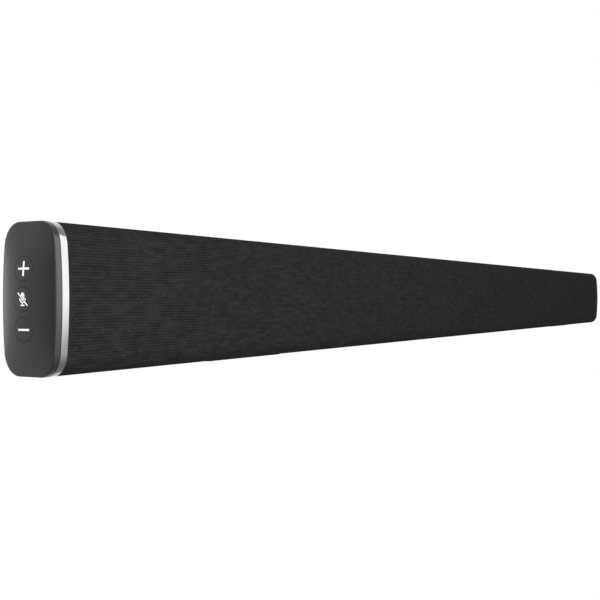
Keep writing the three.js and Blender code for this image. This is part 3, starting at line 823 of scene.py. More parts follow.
@dataclass
class GrilleCover(SubAssembly):
    """The cloth over the grille frame, with its cords running along the bar and its edges tucked in."""

    cord: float = CLOTH.cord
    cord_height: float = 0.09 * MM
    spans_per_cord: int = 8
    wall: float = 0.8 * MM
    tuck: float = 0.35 * MM
    hem: float = 4 * MM  # how far in from each end the even stations start
    stations: int = 40
    lining: int = 90  # points across the cloth's inner face
    piece: bpy.types.Object = field(default=None, init=False)
    flat: tuple[float, float] = field(default=(0.0, 0.0), init=False)

    def build(self) -> None:
        """Builds the cloth.

        Across a cord the surface follows half an ellipse, depth = cord_height (1 - sqrt(1 - (2f - 1)^2)) at
        the fraction f of the cord. Near the bar's ends it sinks by `tuck`, as does each seam edge.
        """
        start, end = span("fabric_sleeve", 0)
        rear_top = span("fabric_sleeve", 1)[1]
        seam_bottom = span("fabric_sleeve", 1)[0] + SEAM_UNDERNEATH
        outer = SECTION.ahead(0.0, rear_top, seam_bottom)
        length = float(np.linalg.norm(np.diff(outer, axis=0), axis=1).sum())
        cords = round(length / self.cord)
        count = cords * self.spans_per_cord + 1
        outer = resampled(outer, count)
        along = np.linspace(0.0, length, count)
        fraction = (np.arange(count) % self.spans_per_cord) / self.spans_per_cord
        groove = self.cord_height * (1 - np.sqrt(1 - (2 * fraction - 1) ** 2))
        edge = np.minimum(along, length - along) / (2 * self.wall)
        depth = groove + self.tuck * np.clip(1 - edge, 0.0, 1.0) ** 2
        direction = np.gradient(outer, axis=0)
        direction /= np.linalg.norm(direction, axis=1, keepdims=True)
        inward = np.stack([direction[:, 1], -direction[:, 0]], axis=1)
        inner = resampled(SECTION.ahead(self.wall, rear_top, seam_bottom), self.lining)[::-1]
        near = np.array([0.0, 0.15, 0.4, 0.8, 1.5]) * MM
        middle = np.linspace(start + self.hem, end - self.hem, self.stations)
        x = np.concatenate([start + near, middle, (end - near)[::-1]])
        sink = self.tuck * np.clip(1 - np.minimum(x - start, end - x) / self.wall, 0.0, 1.0) ** 2
        skin = outer + inward * (depth + sink[:, None])[..., None]
        lining = np.broadcast_to(inner, (len(x), *inner.shape))
        grid = SECTION.placed(x[:, None], np.concatenate([skin, lining], axis=1))
        work = Patchwork().grid(grid, close_columns=True)
        around = np.concatenate([along, np.linspace(length, 0.0, len(inner))])
        uv = np.stack([grid[..., 0], np.broadcast_to(around, grid.shape[:2])], axis=-1).reshape(-1, 2)
        self.piece = self.closed(work, grid, uv)
        self.flat = (length + 2 * self.wall, end - start)

    def closed(self, work: Patchwork, grid: np.ndarray, uv: np.ndarray) -> bpy.types.Object:
        """Adds the two ends, as strips from the skin to the lining, and makes the piece.

        The point k of the skin goes with the point of the lining at the same share of its length, so where
        two neighbours go with the same one their face is a triangle.
        """
        columns = grid.shape[1]
        skin = columns - self.lining
        step = np.arange(skin)
        partner = np.round(np.linspace(self.lining - 1, 0, skin)).astype(int) + skin
        strip = np.stack([step[:-1], step[1:], partner[1:], partner[:-1]], axis=1)
        shared = partner[1:] == partner[:-1]
        for base in (0, (grid.shape[0] - 1) * columns):
            work.bridged((strip[shared, :3] + base).tolist() + (strip[~shared] + base).tolist())
        return work.piece("fabric_cover", uv)

    def dress(self) -> None:
        dressed(self.piece, CLOTH, "case", "fabric_sleeve")


@dataclass
class TrimRing(SubAssembly):
    """The bright ring between the left cap and the cloth."""

    wall: float = 2.2 * MM
    edge: float = 0.3 * MM
    around: int = 256
    piece: bpy.types.Object = field(default=None, init=False)

    def build(self) -> None:
        """Carries a rectangle with rounded outer edges round the body's outline."""
        x0, x1 = span("left_trim_ring", 0)
        corners = np.array([[x0, self.wall], [x0, 0.0], [x1, 0.0], [x1, self.wall]])
        profile = eased(corners, self.edge, 5)
        self.piece = Patchwork().grid(SECTION.swept(profile, self.around), True, True).piece("trim_ring")

    def dress(self) -> None:
        """Dresses the ring in bright plating."""
        dressed(self.piece, CHROME, "case", "left_trim_ring")


@dataclass
class EndCap(SubAssembly):
    """A domed cap, with round holes for buttons down its middle where it has any."""

    node: str
    name: str
    rim_x: float
    tip_x: float
    base_x: float
    finish: Finish
    hole: float = 0.0
    hole_z: tuple[float, ...] = ()
    square: float = 7.6 * MM  # half the side of the patch round each hole
    edge: float = 0.7 * MM
    lip: float = 0.08 * MM
    wall: float = 2.2 * MM
    face_inset: float = 5.0 * MM
    face_x: float = 0.0
    shelf_x: float = 0.0
    side_steps: int = 24
    around: int = 192
    piece: bpy.types.Object = field(default=None, init=False)

    @property
    def dome(self) -> Dome:
        """The cap's domed face."""
        return Dome(SECTION, self.rim_x, self.tip_x)

    def build(self) -> None:
        """Builds the face, the rounded edge, the side wall and the hollow, and welds them."""
        work = Patchwork()
        rim = SECTION.loop(self.edge, self.around)
        lift = self.dome.lifted
        if self.hole_z:
            self.add_holed_sheet(work, rim, 16, lift)
        else:
            share = np.linspace(1.0, 0.0, 33)[:, None, None]
            work.grid(lift(rim * share), close_columns=True)
        work.grid(self.edge_rows(), close_columns=True)
        work.grid(self.hollow_rows(), close_columns=True)
        inner_rim = SECTION.loop(self.face_inset, self.around)
        if self.hole_z:
            self.add_holed_sheet(work, inner_rim, 2, lambda outline: SECTION.placed(self.face_x, outline))
            self.add_hole_walls(work)
        else:
            work.polygon(SECTION.placed(self.face_x, inner_rim))
        self.piece = work.piece(self.name)

    def square_loop(self) -> np.ndarray:
        """Even points round a square, from its lowest front corner up and over."""
        step = np.linspace(-1.0, 1.0, self.side_steps, endpoint=False)
        one = np.ones_like(step)
        sides = [np.stack(pair, axis=1) for pair in ((-one, step), (step, one), (one, -step), (-step, -one))]
        return np.vstack(sides) * self.square

    def column_loop(self) -> np.ndarray:
        """Points round the column of squares, from the middle of its front side over the top."""
        ring, n = self.square_loop(), self.side_steps
        top, middle, bottom = ([0.0, z] for z in self.hole_z)
        half = n // 2
        runs = [ring[half:n] + middle, ring[: 3 * n] + top, ring[2 * n : 3 * n] + middle,
                ring[2 * n :] + bottom, ring[:n] + bottom, ring[:half] + middle]
        return np.vstack(runs)

    def add_holed_sheet(self, work: Patchwork, rim: np.ndarray, rows: int, lift: Callable) -> None:
        """Adds a sheet with the button holes in it.

        Each hole has rings of points that turn from its circle into a square, and from the column of squares
        they go on to the rim, each along its own straight line.

        Args:
            work: the patchwork that takes the sheet.
            rim: the sheet's outer edge, as points (y, z).
            rows: how many spans lie between the squares and the rim.
            lift: the function that puts points (y, z) into space.
        """
        square = self.square_loop()
        outward = square / np.linalg.norm(square, axis=1, keepdims=True)
        mouth = self.hole + (self.lip if rows > 2 else 0.0)
        share = np.linspace(0.0, 1.0, max(2, rows // 3) + 1)[:, None, None]
        for z in self.hole_z:
            rings = outward * mouth + (square - outward * mouth) * share + [0.0, z]
            work.grid(lift(rings), close_columns=True)
        column = self.column_loop()
        share = np.linspace(0.0, 1.0, rows + 1)[:, None, None]
        work.grid(lift(column + (rim - column) * share), close_columns=True)

    def add_hole_walls(self, work: Patchwork) -> None:
        """Adds each hole's rounded lip and wall: at turn t the lip has radius hole + lip (1 - sin t)."""
        square = self.square_loop()
        outward = square / np.linalg.norm(square, axis=1, keepdims=True)
        turn = np.linspace(0.0, math.pi / 2, 5)[:, None, None]
        for z in self.hole_z:
            circles = outward * (self.hole + self.lip * (1 - np.sin(turn))) + [0.0, z]
            lip = self.dome.lifted(circles, self.lip * (1 - np.cos(turn[..., 0])))
            floor = SECTION.placed(self.face_x, circles[-1:])
            work.grid(np.concatenate([lip, floor]), close_columns=True)

    def edge_rows(self) -> np.ndarray:
        """The rounded edge between the dome and the side wall: a quadratic curve about their corner."""
        inward = math.copysign(1.0, self.rim_x - self.tip_x)
        dome = self.dome.lifted(SECTION.loop(self.edge, self.around))
        outline = SECTION.loop(0.0, self.around)
        corner = SECTION.placed(self.rim_x, outline)
        wall = SECTION.placed(self.rim_x + inward * self.edge, outline)
        b = np.linspace(0.0, 1.0, 9)[:, None, None]
        return (1 - b) ** 2 * dome + 2 * b * (1 - b) * corner + b**2 * wall

    def hollow_rows(self) -> np.ndarray:
        """The side wall, the base's rim and the hollow behind the face, as loops of the section."""
        inward = math.copysign(1.0, self.rim_x - self.tip_x)
        start = [self.rim_x + inward * self.edge, 0.0]
        corners = [start, [self.base_x, 0.0], [self.base_x, self.wall], [self.shelf_x, self.wall],
                   [self.shelf_x, self.face_inset], [self.face_x, self.face_inset]]
        return SECTION.swept(eased(np.array(corners), 0.15 * MM, 3), self.around)

    def dress(self) -> None:
        """Dresses the cap."""
        dressed(self.piece, self.finish, "case", self.node)


class Mark(Enum):
    """The white mark on a button."""

    PLUS = "plus"
    MICROPHONE_OFF = "microphone_off"
    MINUS = "minus"


@dataclass(frozen=True)
class Stroke:
    """A straight stroke with round ends on a button's face, in (right, up) from its centre."""

    start: tuple[float, float]
    end: tuple[float, float]
    width: float
    roundness: float = 1.0

    def outline(self, steps: int = 10) -> np.ndarray:
        """The stroke's outline: two half turns of a squared or round pen."""
        start, end = np.array(self.start), np.array(self.end)
        way = end - start
        way = way / np.linalg.norm(way) if np.linalg.norm(way) > 0 else np.array([1.0, 0.0])
        side = np.array([-way[1], way[0]])
        turn = np.linspace(-math.pi / 2, math.pi / 2, steps)
        power = 0.25 + 0.75 * self.roundness
        reach = np.abs(np.cos(turn)) ** power * np.sign(np.cos(turn)) * self.width / 2 * self.roundness
        sway = np.abs(np.sin(turn)) ** power * np.sign(np.sin(turn)) * self.width / 2
        far = end + reach[:, None] * way + sway[:, None] * side
        near = start - reach[:, None] * way - sway[:, None] * side
        return np.vstack([far, near])


@dataclass
class PushButton(SubAssembly):
    """One button: a plug of the cap's dome with a flange behind it, and its white mark let into it."""

    name: str
    mark: Mark
    dome: Dome
    radius: float = 6.0 * MM
    flange: float = 7.2 * MM
    flange_thick: float = 1.2 * MM
    neck: float = 0.6 * MM  # the stretch of skirt in front of the flange that is kept straight
    edge: float = 0.09 * MM
    proud: float = 0.03 * MM
    sunk: float = 0.12 * MM
    around: int = 96
    pieces: list = field(default_factory=list, init=False)

    @property
    def z(self) -> float:
        """The button's height above the body's axis."""
        return middle_xz(self.name + "_button")[1] - SECTION.axis_z

    def circles(self, radii: np.ndarray) -> np.ndarray:
        """Circles (y, z) of these radii about the button's centre."""
        angle = np.linspace(0.0, 2 * math.pi, self.around, endpoint=False)
        return np.stack([np.outer(radii, np.cos(angle)), np.outer(radii, np.sin(angle)) + self.z], axis=-1)

    def build(self) -> None:
        """Builds the button and its mark.

        The face follows the cap's dome; at turn t its edge has radius radius - edge (1 - sin t) and sits
        edge (1 - sin (90 deg - t)) below the dome.
        """
        front = span("left_end_cap", 0)[0]
        back = span(self.name + "_button", 0)[1]
        flange_front = back - self.flange_thick
        face = self.dome.lifted(self.circles(np.linspace(0.0, self.radius - self.edge, 14)))
        turn = np.linspace(0.0, math.pi / 2, 6)
        rounded = self.circles(self.radius - self.edge * (1 - np.sin(turn)))
        edge = self.dome.lifted(rounded, (self.edge * (1 - np.cos(turn)))[:, None])
        corners = [(flange_front - self.neck, self.radius), (flange_front, self.radius),
                   (flange_front, self.flange), (back, self.flange), (back, 0.0)]
        skirt = eased(np.array(corners), 0.12 * MM, 3)
        rows = [SECTION.placed(x, self.circles(np.array([r]))[0]) for x, r in skirt]
        button = Patchwork().grid(np.concatenate([face, edge[1:], np.stack(rows)]), close_columns=True)
        self.pieces = [button.piece(self.name + "_key"), self.marking(front)]

    def marking(self, front: float) -> bpy.types.Object:
        """The mark: its strokes as prisms, cut to a thin skin that follows the dome."""
        shell = Patchwork()
        discs = self.circles(np.linspace(0.0, self.radius - 3 * self.edge, 24))
        top = self.dome.lifted(discs, -self.proud)
        bottom = self.dome.lifted(discs, self.sunk)
        shell.grid(np.concatenate([top, bottom[::-1]]), close_columns=True)
        skin = shell.piece(f"{self.mark.value}_mark")
        depth = (front - 1 * MM, front + 3 * MM)
        return carved(skin, self.strokes(depth), Cut.KEEP_COMMON)

    def prisms(self, strokes: list[Stroke], depth: tuple[float, float]) -> bpy.types.Object:
        """Strokes as prisms through the button's face, joined into one tool."""
        tool = None
        for stroke in strokes:
            outline = stroke.outline() * [-1, 1] + [0.0, self.z]
            low, high = (SECTION.placed(x, outline) for x in depth)
            work = Patchwork().grid(np.stack([low, high]), close_columns=True).polygon(low).polygon(high)
            prism = work.piece("stroke")
            tool = prism if tool is None else carved(tool, prism, Cut.ADD)
        return tool

    def strokes(self, depth: tuple[float, float]) -> bpy.types.Object:
        """The strokes of this button's mark."""
        arm, pen, squarish = 3.53 * MM, 1.0 * MM, 0.35
        across = Stroke((-arm, 0.0), (arm, 0.0), pen, squarish)
        if self.mark is Mark.PLUS:
            return self.prisms([across, Stroke((0.0, -arm), (0.0, arm), pen, squarish)], depth)
        if self.mark is Mark.MINUS:
            return self.prisms([across], depth)
        tool = self.prisms(self.microphone(), depth)
        slash = (-3.1 * MM, 3.0 * MM), (3.1 * MM, -3.0 * MM)
        carved(tool, self.prisms([Stroke(*slash, 1.35 * MM)], (depth[0] - MM, depth[1] + MM)))
        return carved(tool, self.prisms([Stroke(*slash, 0.6 * MM)], depth), Cut.ADD)

    @staticmethod
    def microphone() -> list[Stroke]:
        """A microphone: a half circle for its cradle, then its stem, its foot and its head."""
        cradle_radius, cradle_up, pen = 1.95 * MM, 0.3 * MM, 0.5 * MM
        turn = np.linspace(math.pi, 2 * math.pi, 13)
        cradle = np.stack([np.cos(turn), np.sin(turn)], axis=1) * cradle_radius + [0.0, cradle_up]
        foot = -3.05 * MM
        return [
            *(Stroke(a, b, pen) for a, b in zip(cradle, cradle[1:])),
            Stroke((0.0, cradle_up - cradle_radius), (0.0, foot + 0.15 * MM), pen),
            Stroke((-1.1 * MM, foot), (1.1 * MM, foot), 0.55 * MM),
            Stroke((0.0, 0.25 * MM), (0.0, 2.1 * MM), 2.5 * MM),
        ]

    def dress(self) -> None:
        """Dresses the button and its mark, which both move with the button's body."""
        dressed(self.pieces[0], CHARCOAL, self.name, self.name + "_button")
        dressed(self.pieces[1], WHITE, self.name)


@dataclass
class RearHousing(SubAssembly):
    """One section of the rear housing: a tub with end walls, and a recessed rim towards the front."""

    node: str
    step: float = 3.2 * MM  # how far the rim sits inside the skin
    rim_wall: float = 2.0 * MM
    wall: float = 2.4 * MM
    edge: float = 0.25 * MM
    screw_x: tuple[float, ...] = (-570 * MM, -190 * MM, 190 * MM, 570 * MM)
    screw_z: float = 20 * MM
    insert_x: tuple[float, ...] = (-420 * MM, 420 * MM)
    insert_z: float = 17 * MM
    insert_bore: float = 4.3 * MM
    insert_deep: float = 6.3 * MM
    column_wall: float = 2.1 * MM
    screw_bore: float = 1.9 * MM
    screw_head: float = 3.2 * MM
    screw_sunk: float = 3.9 * MM  # from the back's furthest point to the seat of a head
    root: float = 2.3 * MM  # from the back's furthest point to a column's end in the wall
    pad: tuple[float, float] = (18 * MM, 25 * MM)
    pad_deep: float = 3.0 * MM
    carrier_bore: float = 1.55 * MM
    piece: bpy.types.Object = field(default=None, init=False)

    def build(self) -> None:
        """Builds the tub, then its pads, columns, holes and seats."""
        self.piece = self.tub()
        rim, back = span(self.node, 1)
        for x in self.inside(self.insert_x):
            carved(self.piece, self.flat_pad(x, back), Cut.ADD)
            floor = back - self.insert_deep
            for z in (self.insert_z, -self.insert_z):
                self.column(x, z, self.insert_bore + self.column_wall, (floor - self.wall, back - self.root))
                self.bore(x, z, self.flared([(self.insert_bore, floor)], back), back + MM)
        for x in self.inside(self.screw_x):
            seat = back - self.screw_sunk
            steps = [(self.screw_bore, rim - MM), (self.screw_bore, seat), (self.screw_head, seat)]
            for z in (self.screw_z, -self.screw_z):
                self.column(x, z, self.screw_bore + self.column_wall, (rim, back - self.root))
                self.bore(x, z, self.flared(steps, self.skin_y(z)), back + MM)
        self.cut_windows()

    @staticmethod
    def flared(steps: list[tuple[float, float]], skin: float) -> list[tuple[float, float]]:
        """A bore's steps (radius, y), with its mouth opening by two flares as it passes the skin."""
        radius = steps[-1][0]
        return [*steps, (radius, skin - FLARE), (radius + 2 * FLARE, skin + FLARE)]

    def inside(self, places: tuple[float, ...]) -> list[float]:
        """The places along the bar that fall in this section."""
        start, end = span(self.node, 0)
        return [x for x in places if start < x < end]

    def skin_y(self, z: float) -> float:
        """Where the back's skin lies at this height above the axis."""
        flank = SECTION.flank(SECTION.rear, 0.0)
        return float(np.interp(abs(z), flank[:, 1], flank[:, 0]))

    def path(self, inset: float, rim_inset: float, behind: float) -> np.ndarray:
        """The section from the rim's top round the back to the rim's underside, as points (y, z).

        Args:
            inset: how far inside the skin it runs round the back.
            rim_inset: how far inside the skin it runs in front of the step.
            behind: how far behind the cloth's seams the step lies.
        """
        rim = span(self.node, 1)[0]
        front, top = span("fabric_sleeve", 1)
        top_step, low_step = top + behind, front + SEAM_UNDERNEATH + behind
        half = SECTION.height / 2
        past = 1.2 * MM
        back = SECTION.behind(inset, top_step + past, low_step + past)
        corners = [(rim, half - rim_inset), (top_step, half - rim_inset), (top_step, half - inset), back[0]]
        upper = eased(np.array(corners), self.edge, 3)
        corners = [back[-1], (low_step, inset - half), (low_step, rim_inset - half), (rim, rim_inset - half)]
        return np.vstack([upper, back[1:-1], eased(np.array(corners), self.edge, 3)])

    def tub(self) -> bpy.types.Object:
        """The tub: its skin with rounded ends, its cavity, and the flat rim between them."""
        start, end = span(self.node, 0)
        skin = self.path(0.0, self.step, FIT)
        cavity = self.path(self.wall, self.step + self.rim_wall, FIT + self.wall)
        way = np.gradient(skin, axis=0)
        way /= np.linalg.norm(way, axis=1, keepdims=True)
        inward = np.stack([way[:, 1], -way[:, 0]], axis=1)
        turn = np.linspace(0.0, math.pi / 2, 4)
        ease = self.edge * (1 - np.sin(turn))
        near = self.edge * (1 - np.cos(turn))
        breaks = self.breaks()
        x = np.concatenate([start + near, breaks, end - near[::-1]])
        sunk = np.concatenate([ease, np.zeros(len(breaks)), ease[::-1]])
        rows = np.stack([SECTION.placed(at, skin + inward * deep) for at, deep in zip(x, sunk)])
        inner = np.stack([SECTION.placed(at, cavity) for at in (start + self.wall, end - self.wall)])
        work = Patchwork().grid(rows).grid(inner)
        work.polygon(rows[0]).polygon(rows[-1]).polygon(inner[0]).polygon(inner[1])
        work.polygon(np.vstack([rows[:, 0], inner[::-1, 0]]))
        work.polygon(np.vstack([rows[:, -1], inner[::-1, -1]]))
        work.polygon(np.stack([rows[0, 0], inner[0, 0], inner[0, -1], rows[0, -1]]))
        work.polygon(np.stack([rows[-1, 0], inner[1, 0], inner[1, -1], rows[-1, -1]]))
        return work.piece(self.node + "_shell")

    def breaks(self) -> np.ndarray:
        """Places along the bar where the skin's faces end, a little beside each feature, to shade evenly."""
        start, end = span(self.node, 0)
        features = [(x - self.pad[0], x + self.pad[0]) for x in self.insert_x]
        mouth = self.screw_head + 2 * FLARE
        features += [(x - mouth, x + mouth) for x in self.screw_x]
        features += [span(node, 0) for node in ("connector_bay", "left_foot", "right_foot")]
        beside = np.array([(low - MM, high + MM) for low, high in features]).ravel()
        return np.sort(beside[(beside > start + MM) & (beside < end - MM)])

    def flat_pad(self, x: float, back: float) -> bpy.types.Object:
        """A flat pad for a wall bracket, with rounded corners and a soft edge."""
        return block(self.pad, 3 * MM, (x, SECTION.axis_z), (back - self.pad_deep, back), 0.3 * MM)

    def column(self, x: float, z: float, radius: float, reach: tuple[float, float]) -> None:
        """Adds a round column along Y."""
        profile = [(0.0, reach[0]), (radius, reach[0]), (radius, reach[1]), (0.0, reach[1])]
        carved(self.piece, pin(profile, (x, SECTION.axis_z + z), 32), Cut.ADD)

    def bore(self, x: float, z: float, profile: list[tuple[float, float]], out: float) -> None:
        """Cuts a round hole along Y, with the given steps and a flared mouth."""
        whole = [(0.0, profile[0][1]), *profile, (profile[-1][0], out), (0.0, out)]
        carved(self.piece, pin(whole, (x, SECTION.axis_z + z), 40))

    def cut_windows(self) -> None:
        """Cuts the bay's window, the feet's seats and the carrier screws' holes where they fall."""
        start, end = span(self.node, 0)
        back = span(self.node, 1)[1]
        bay = "connector_bay"
        if start < span(bay, 0)[0] < end:
            carved(self.piece, block(half_xz(bay, FIT), 1.2 * MM, middle_xz(bay), (0.0, back + MM)))
        for foot in FEET:
            if start < span(foot, 0)[0] < end:
                top = span(foot, 2)[1] + FIT
                carved(self.piece, slab(foot, [(-MM, FIT), (top, FIT)], "seat"))
        if start < span("carrier_screw_1", 0)[1] < end:
            near, far = start - MM, start + 3 * MM
            profile = [(0.0, near), (self.carrier_bore, near), (self.carrier_bore, far), (0.0, far)]
            for screw in ("carrier_screw_1", "carrier_screw_2"):
                carved(self.piece, pin(profile, (0.0, middle_xz(screw)[1]), 24, Axis.X))

    def dress(self) -> None:
        """Dresses the section in grained black plastic."""
        dressed(self.piece, BLACK, "case", self.node)


@dataclass
class Feet(SubAssembly):
    """The two rubber feet: long strips with round ends and fine ribs underneath."""

    edge: float = 0.3 * MM
    rib: float = 1.5 * MM
    groove: float = 0.28 * MM
    fade: float = 6 * MM  # how far in from the foot's end a groove reaches its full depth
    pieces: list = field(default_factory=list, init=False)

    def build(self) -> None:
        """Builds each foot from outlines at rising heights, then grooves its tread along its length."""
        for foot in FEET:
            low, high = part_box(foot)
            levels = [(0.0, -self.edge), (0.3 * self.edge, -0.1 * self.edge), (self.edge, 0.0), (high.z, 0.0)]
            piece = slab(foot, levels, foot + "_pad")
            groove = [(0.0, low.x), (self.groove, low.x + self.fade), (self.groove, high.x - self.fade),
                      (0.0, high.x)]
            for y in np.arange(low.y + 2 * self.rib, high.y - self.rib, self.rib):
                carved(piece, pin(groove, (y, 0.0), 8, Axis.X))
            self.pieces.append(piece)

    def dress(self) -> None:
        """Dresses the feet in rubber."""
        for piece, foot in zip(self.pieces, FEET):
            dressed(piece, RUBBER, "case", foot)


@dataclass
class Fixings(SubAssembly):
    """The screws and the thread inserts in the back."""

    screws: tuple[str, ...] = tuple(f"case_screw_{i + 1}" for i in range(8))
    inserts: tuple[str, ...] = tuple(f"mount_insert_{i + 1}" for i in range(4))
    head: float = 2.9 * MM
    head_thick: float = 1.8 * MM
    shank: float = 1.5 * MM
    recess: float = 1.15 * MM
    recess_deep: float = 0.95 * MM
    insert_radius: float = 4.0 * MM
    insert_bore: float = 1.65 * MM
    insert_groove: float = 0.5 * MM
    made: list = field(default_factory=list, init=False)

    def build(self) -> None:
        """Turns one of each along Y and copies it to the others' places."""
        self.spread(self.screws, self.screw, "screw", STEEL)
        self.spread(self.inserts, self.insert, "insert", BRASS)

    def spread(self, nodes: tuple[str, ...], make: Callable, name: str, finish: Finish) -> None:
        """Makes the first node's piece, and a copy at each other node's place."""
        first = make(nodes[0])
        middle = sum(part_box(nodes[0]), Vector()) / 2
        for i, node in enumerate(nodes):
            offset = sum(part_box(node), Vector()) / 2 - middle
            piece = first if i == 0 else copied(first, f"{name}_{i + 1}", tuple(offset))
            self.made.append((piece, finish, node))
        first.name = first.data.name = f"{name}_1"

    def screw(self, node: str) -> bpy.types.Object:
        """A screw with a pointed tip, a pan head and a six-sided recess."""
        tip, top = span(node, 1)
        centre = middle_xz(node)
        head, shank, thick = self.head, self.shank, self.head_thick
        corners = [(1.1 * MM, tip), (shank, tip + 0.8 * MM), (shank, top - thick),
                   (head, top - thick), (head, top - 0.6 * thick), (0.8 * head, top - 0.12 * thick),
                   (0.55 * head, top), (0.0, top)]
        body = pin([(0.0, tip), *eased(np.array(corners), 0.25 * MM, 3)], centre, 40)
        floor, out = top - self.recess_deep, top + MM
        recess = [(0.0, floor), (self.recess, floor), (self.recess + 0.1 * MM, out), (0.0, out)]
        return carved(body, pin(recess, centre, 6))

    def insert(self, node: str) -> bpy.types.Object:
        """A turned thread insert: two plain bands with a groove between them, and a countersunk bore."""
        tip, top = span(node, 1)
        radius, bore, sink = self.insert_radius, self.insert_bore, self.insert_groove
        third = (top - tip) / 3
        profile = [(bore, tip), (radius - 0.3 * MM, tip), (radius, tip + 0.3 * MM), (radius, tip + third),
                   (radius - sink, tip + 1.2 * third), (radius - sink, top - 1.2 * third),
                   (radius, top - third), (radius, top - 0.25 * MM), (radius - 0.25 * MM, top),
                   (bore + sink, top), (bore, top - sink)]
        rows = turned(np.array(profile), middle_xz(node), Axis.Y, 48)
        return Patchwork().grid(rows, True, True).piece(node + "_turned")

    def dress(self) -> None:
        """Dresses the screws in zinc and the inserts in brass."""
        for piece, finish, node in self.made:
            dressed(piece, finish, "case", node)


@dataclass
class ConnectorBay(SubAssembly):
    """The recessed tray in the back, with its three sockets."""

    wall: float = 2.0 * MM
    floor: float = 2.0 * MM
    lip: float = 0.5 * MM
    corner: float = 0.8 * MM
    slot_wall: float = 0.9 * MM
    tongue: float = 0.55 * MM
    inlet_bore: float = 3.1 * MM
    inlet_pin: float = 0.95 * MM
    made: list = field(default_factory=list, init=False)

    def build(self) -> None:
        """Builds the tray with its socket holes, then each socket."""
        half, middle = half_xz("connector_bay"), middle_xz("connector_bay")
        front, back = span("connector_bay", 1)
        deep = front + self.floor
        corners = [(0.0, front), (0.0, back), (self.wall, back), (self.wall + 0.6 * MM, deep), (4 * MM, deep)]
        profile = eased(np.array(corners), self.lip, 5)
        rows = np.stack([ring(half, middle, inset, y, 2.6 * MM) for inset, y in profile])
        tray = Patchwork().grid(rows, close_columns=True).polygon(rows[0]).polygon(rows[-1])
        tray = tray.piece("connector_tray")
        sockets = (("power_inlet", self.inlet, BLACK), ("video_socket", self.slot, STEEL),
                   ("service_socket", self.slot, STEEL))
        for node, make, finish in sockets:
            carved(tray, block(half_xz(node, FIT), self.corner, middle_xz(node), (front - MM, back)))
            self.made.append((make(node), finish, node))
        self.made.append((tray, BLACK, "connector_bay"))

    def shell(self, node: str) -> bpy.types.Object:
        """A socket's body: a block with rounded edges."""
        return block(half_xz(node), self.corner, middle_xz(node), span(node, 1), 0.2 * MM)

    def inlet(self, node: str) -> bpy.types.Object:
        """The round power inlet: a flared bore with a pin standing in it."""
        centre, top = middle_xz(node), span(node, 1)[1]
        floor, out = top - SOCKET_DEEP, top + MM
        bore, flared, stem = self.inlet_bore, self.inlet_bore + 0.6 * MM, self.inlet_pin
        hole = [(0.0, floor), (bore, floor), (bore, top - 0.4 * MM), (flared, top + 0.2 * MM), (flared, out),
                (0.0, out)]
        body = carved(self.shell(node), pin(hole, centre, 48))
        pointed = [(0.0, floor - MM), (stem, floor - MM), (stem, top - 1.6 * MM), (0.6 * MM, top - MM),
                   (0.0, top - 0.9 * MM)]
        return carved(body, pin(pointed, centre, 24), Cut.ADD)

    def slot(self, node: str) -> bpy.types.Object:
        """A flat socket: a slot-shaped mouth with a tongue inside."""
        centre, top = middle_xz(node), span(node, 1)[1]
        floor = top - SOCKET_DEEP
        mouth = half_xz(node, -self.slot_wall)
        body = carved(self.shell(node), block(mouth, 0.7 * MM, centre, (floor, top + MM)))
        half = (mouth[0] - 1.5 * MM, self.tongue)
        tongue = block(half, 0.3 * MM, centre, (floor - MM, top - 1.5 * MM), 0.15 * MM)
        return carved(body, tongue, Cut.ADD)

    def dress(self) -> None:
        """Dresses the tray and the sockets."""
        for piece, finish, node in self.made:
            dressed(piece, finish, "case", node)


@dataclass
class LoudspeakerCone(SubAssembly):
    """A driver's paper cone, with its dust cap in front and its neck behind."""

    number: int
    coil: float = 7.8 * MM  # the neck's radius
    surround: float = 0.5 * MM  # from the cone's edge to its rim
    piece: bpy.types.Object = field(default=None, init=False)

    @property
    def node(self) -> str:
        """The CAD node that the cone stands for."""
        return f"driver_{self.number}_cone"

    def build(self) -> None:
        """Turns the cone about the driver's axis.

        At share s of the way out, the cone has radius coil + (rim - coil) s and lies s^1.35 of the way from
        the neck forward to the rim. The dust cap is part of an ellipse.
        """
        front, back = span(self.node, 1)
        rim, coil = half_xz(self.node)[0], self.coil
        share = np.linspace(0.0, 1.0, 12)
        flare = (back - 2 * MM) * (1 - share**1.35) + front * share**1.35
        outer = np.stack([coil + (rim - self.surround - coil) * share, flare], axis=1)
        turn = np.linspace(0.0, math.pi / 2, 9)
        bulge = np.stack([0.96 * coil * np.sin(turn), back - 2.3 * MM - 2 * MM * np.cos(turn)], axis=1)
        behind = outer[::-1] + [0.3 * MM, 0.8 * MM]
        behind[:, 0] = np.minimum(behind[:, 0], rim)
        neck = [(coil + 0.8 * MM, back - 0.6 * MM), (coil, back), (coil - 0.8 * MM, back),
                (coil - MM, back - MM), (0.0, back - 1.6 * MM)]
        self.piece = pin([*bulge, *outer[1:], *behind[:-1], *neck], middle_xz(self.node), 64)
        self.piece.name = self.piece.data.name = f"paper_cone_{self.number}"

    def dress(self) -> None:
        """Dresses the cone, which moves with its own body."""
        dressed(self.piece, PAPER, f"cone_{self.number}", self.node)


def pin(profile: list, centre: tuple[float, float], count: int, axis: Axis = Axis.Y) -> bpy.types.Object:
    """A turned solid whose profile of (radius, along) starts and ends on the axis."""
    rows = turned(np.array(profile), centre, axis, count)
    return Patchwork().grid(rows, close_columns=True).piece("turned")


def ring(half: tuple[float, float], middle: tuple[float, float], inset: float, y: float,
         radius: float) -> np.ndarray:
    """A rounded rectangle `inset` inside its half sizes, at y, as points in space."""
    corner = max(radius - inset, 0.25 * MM)
    outline = rounded_rectangle(half[0] - inset, half[1] - inset, corner, 6) + middle
    return np.stack([outline[:, 0], np.full(len(outline), y), outline[:, 1]], axis=1)


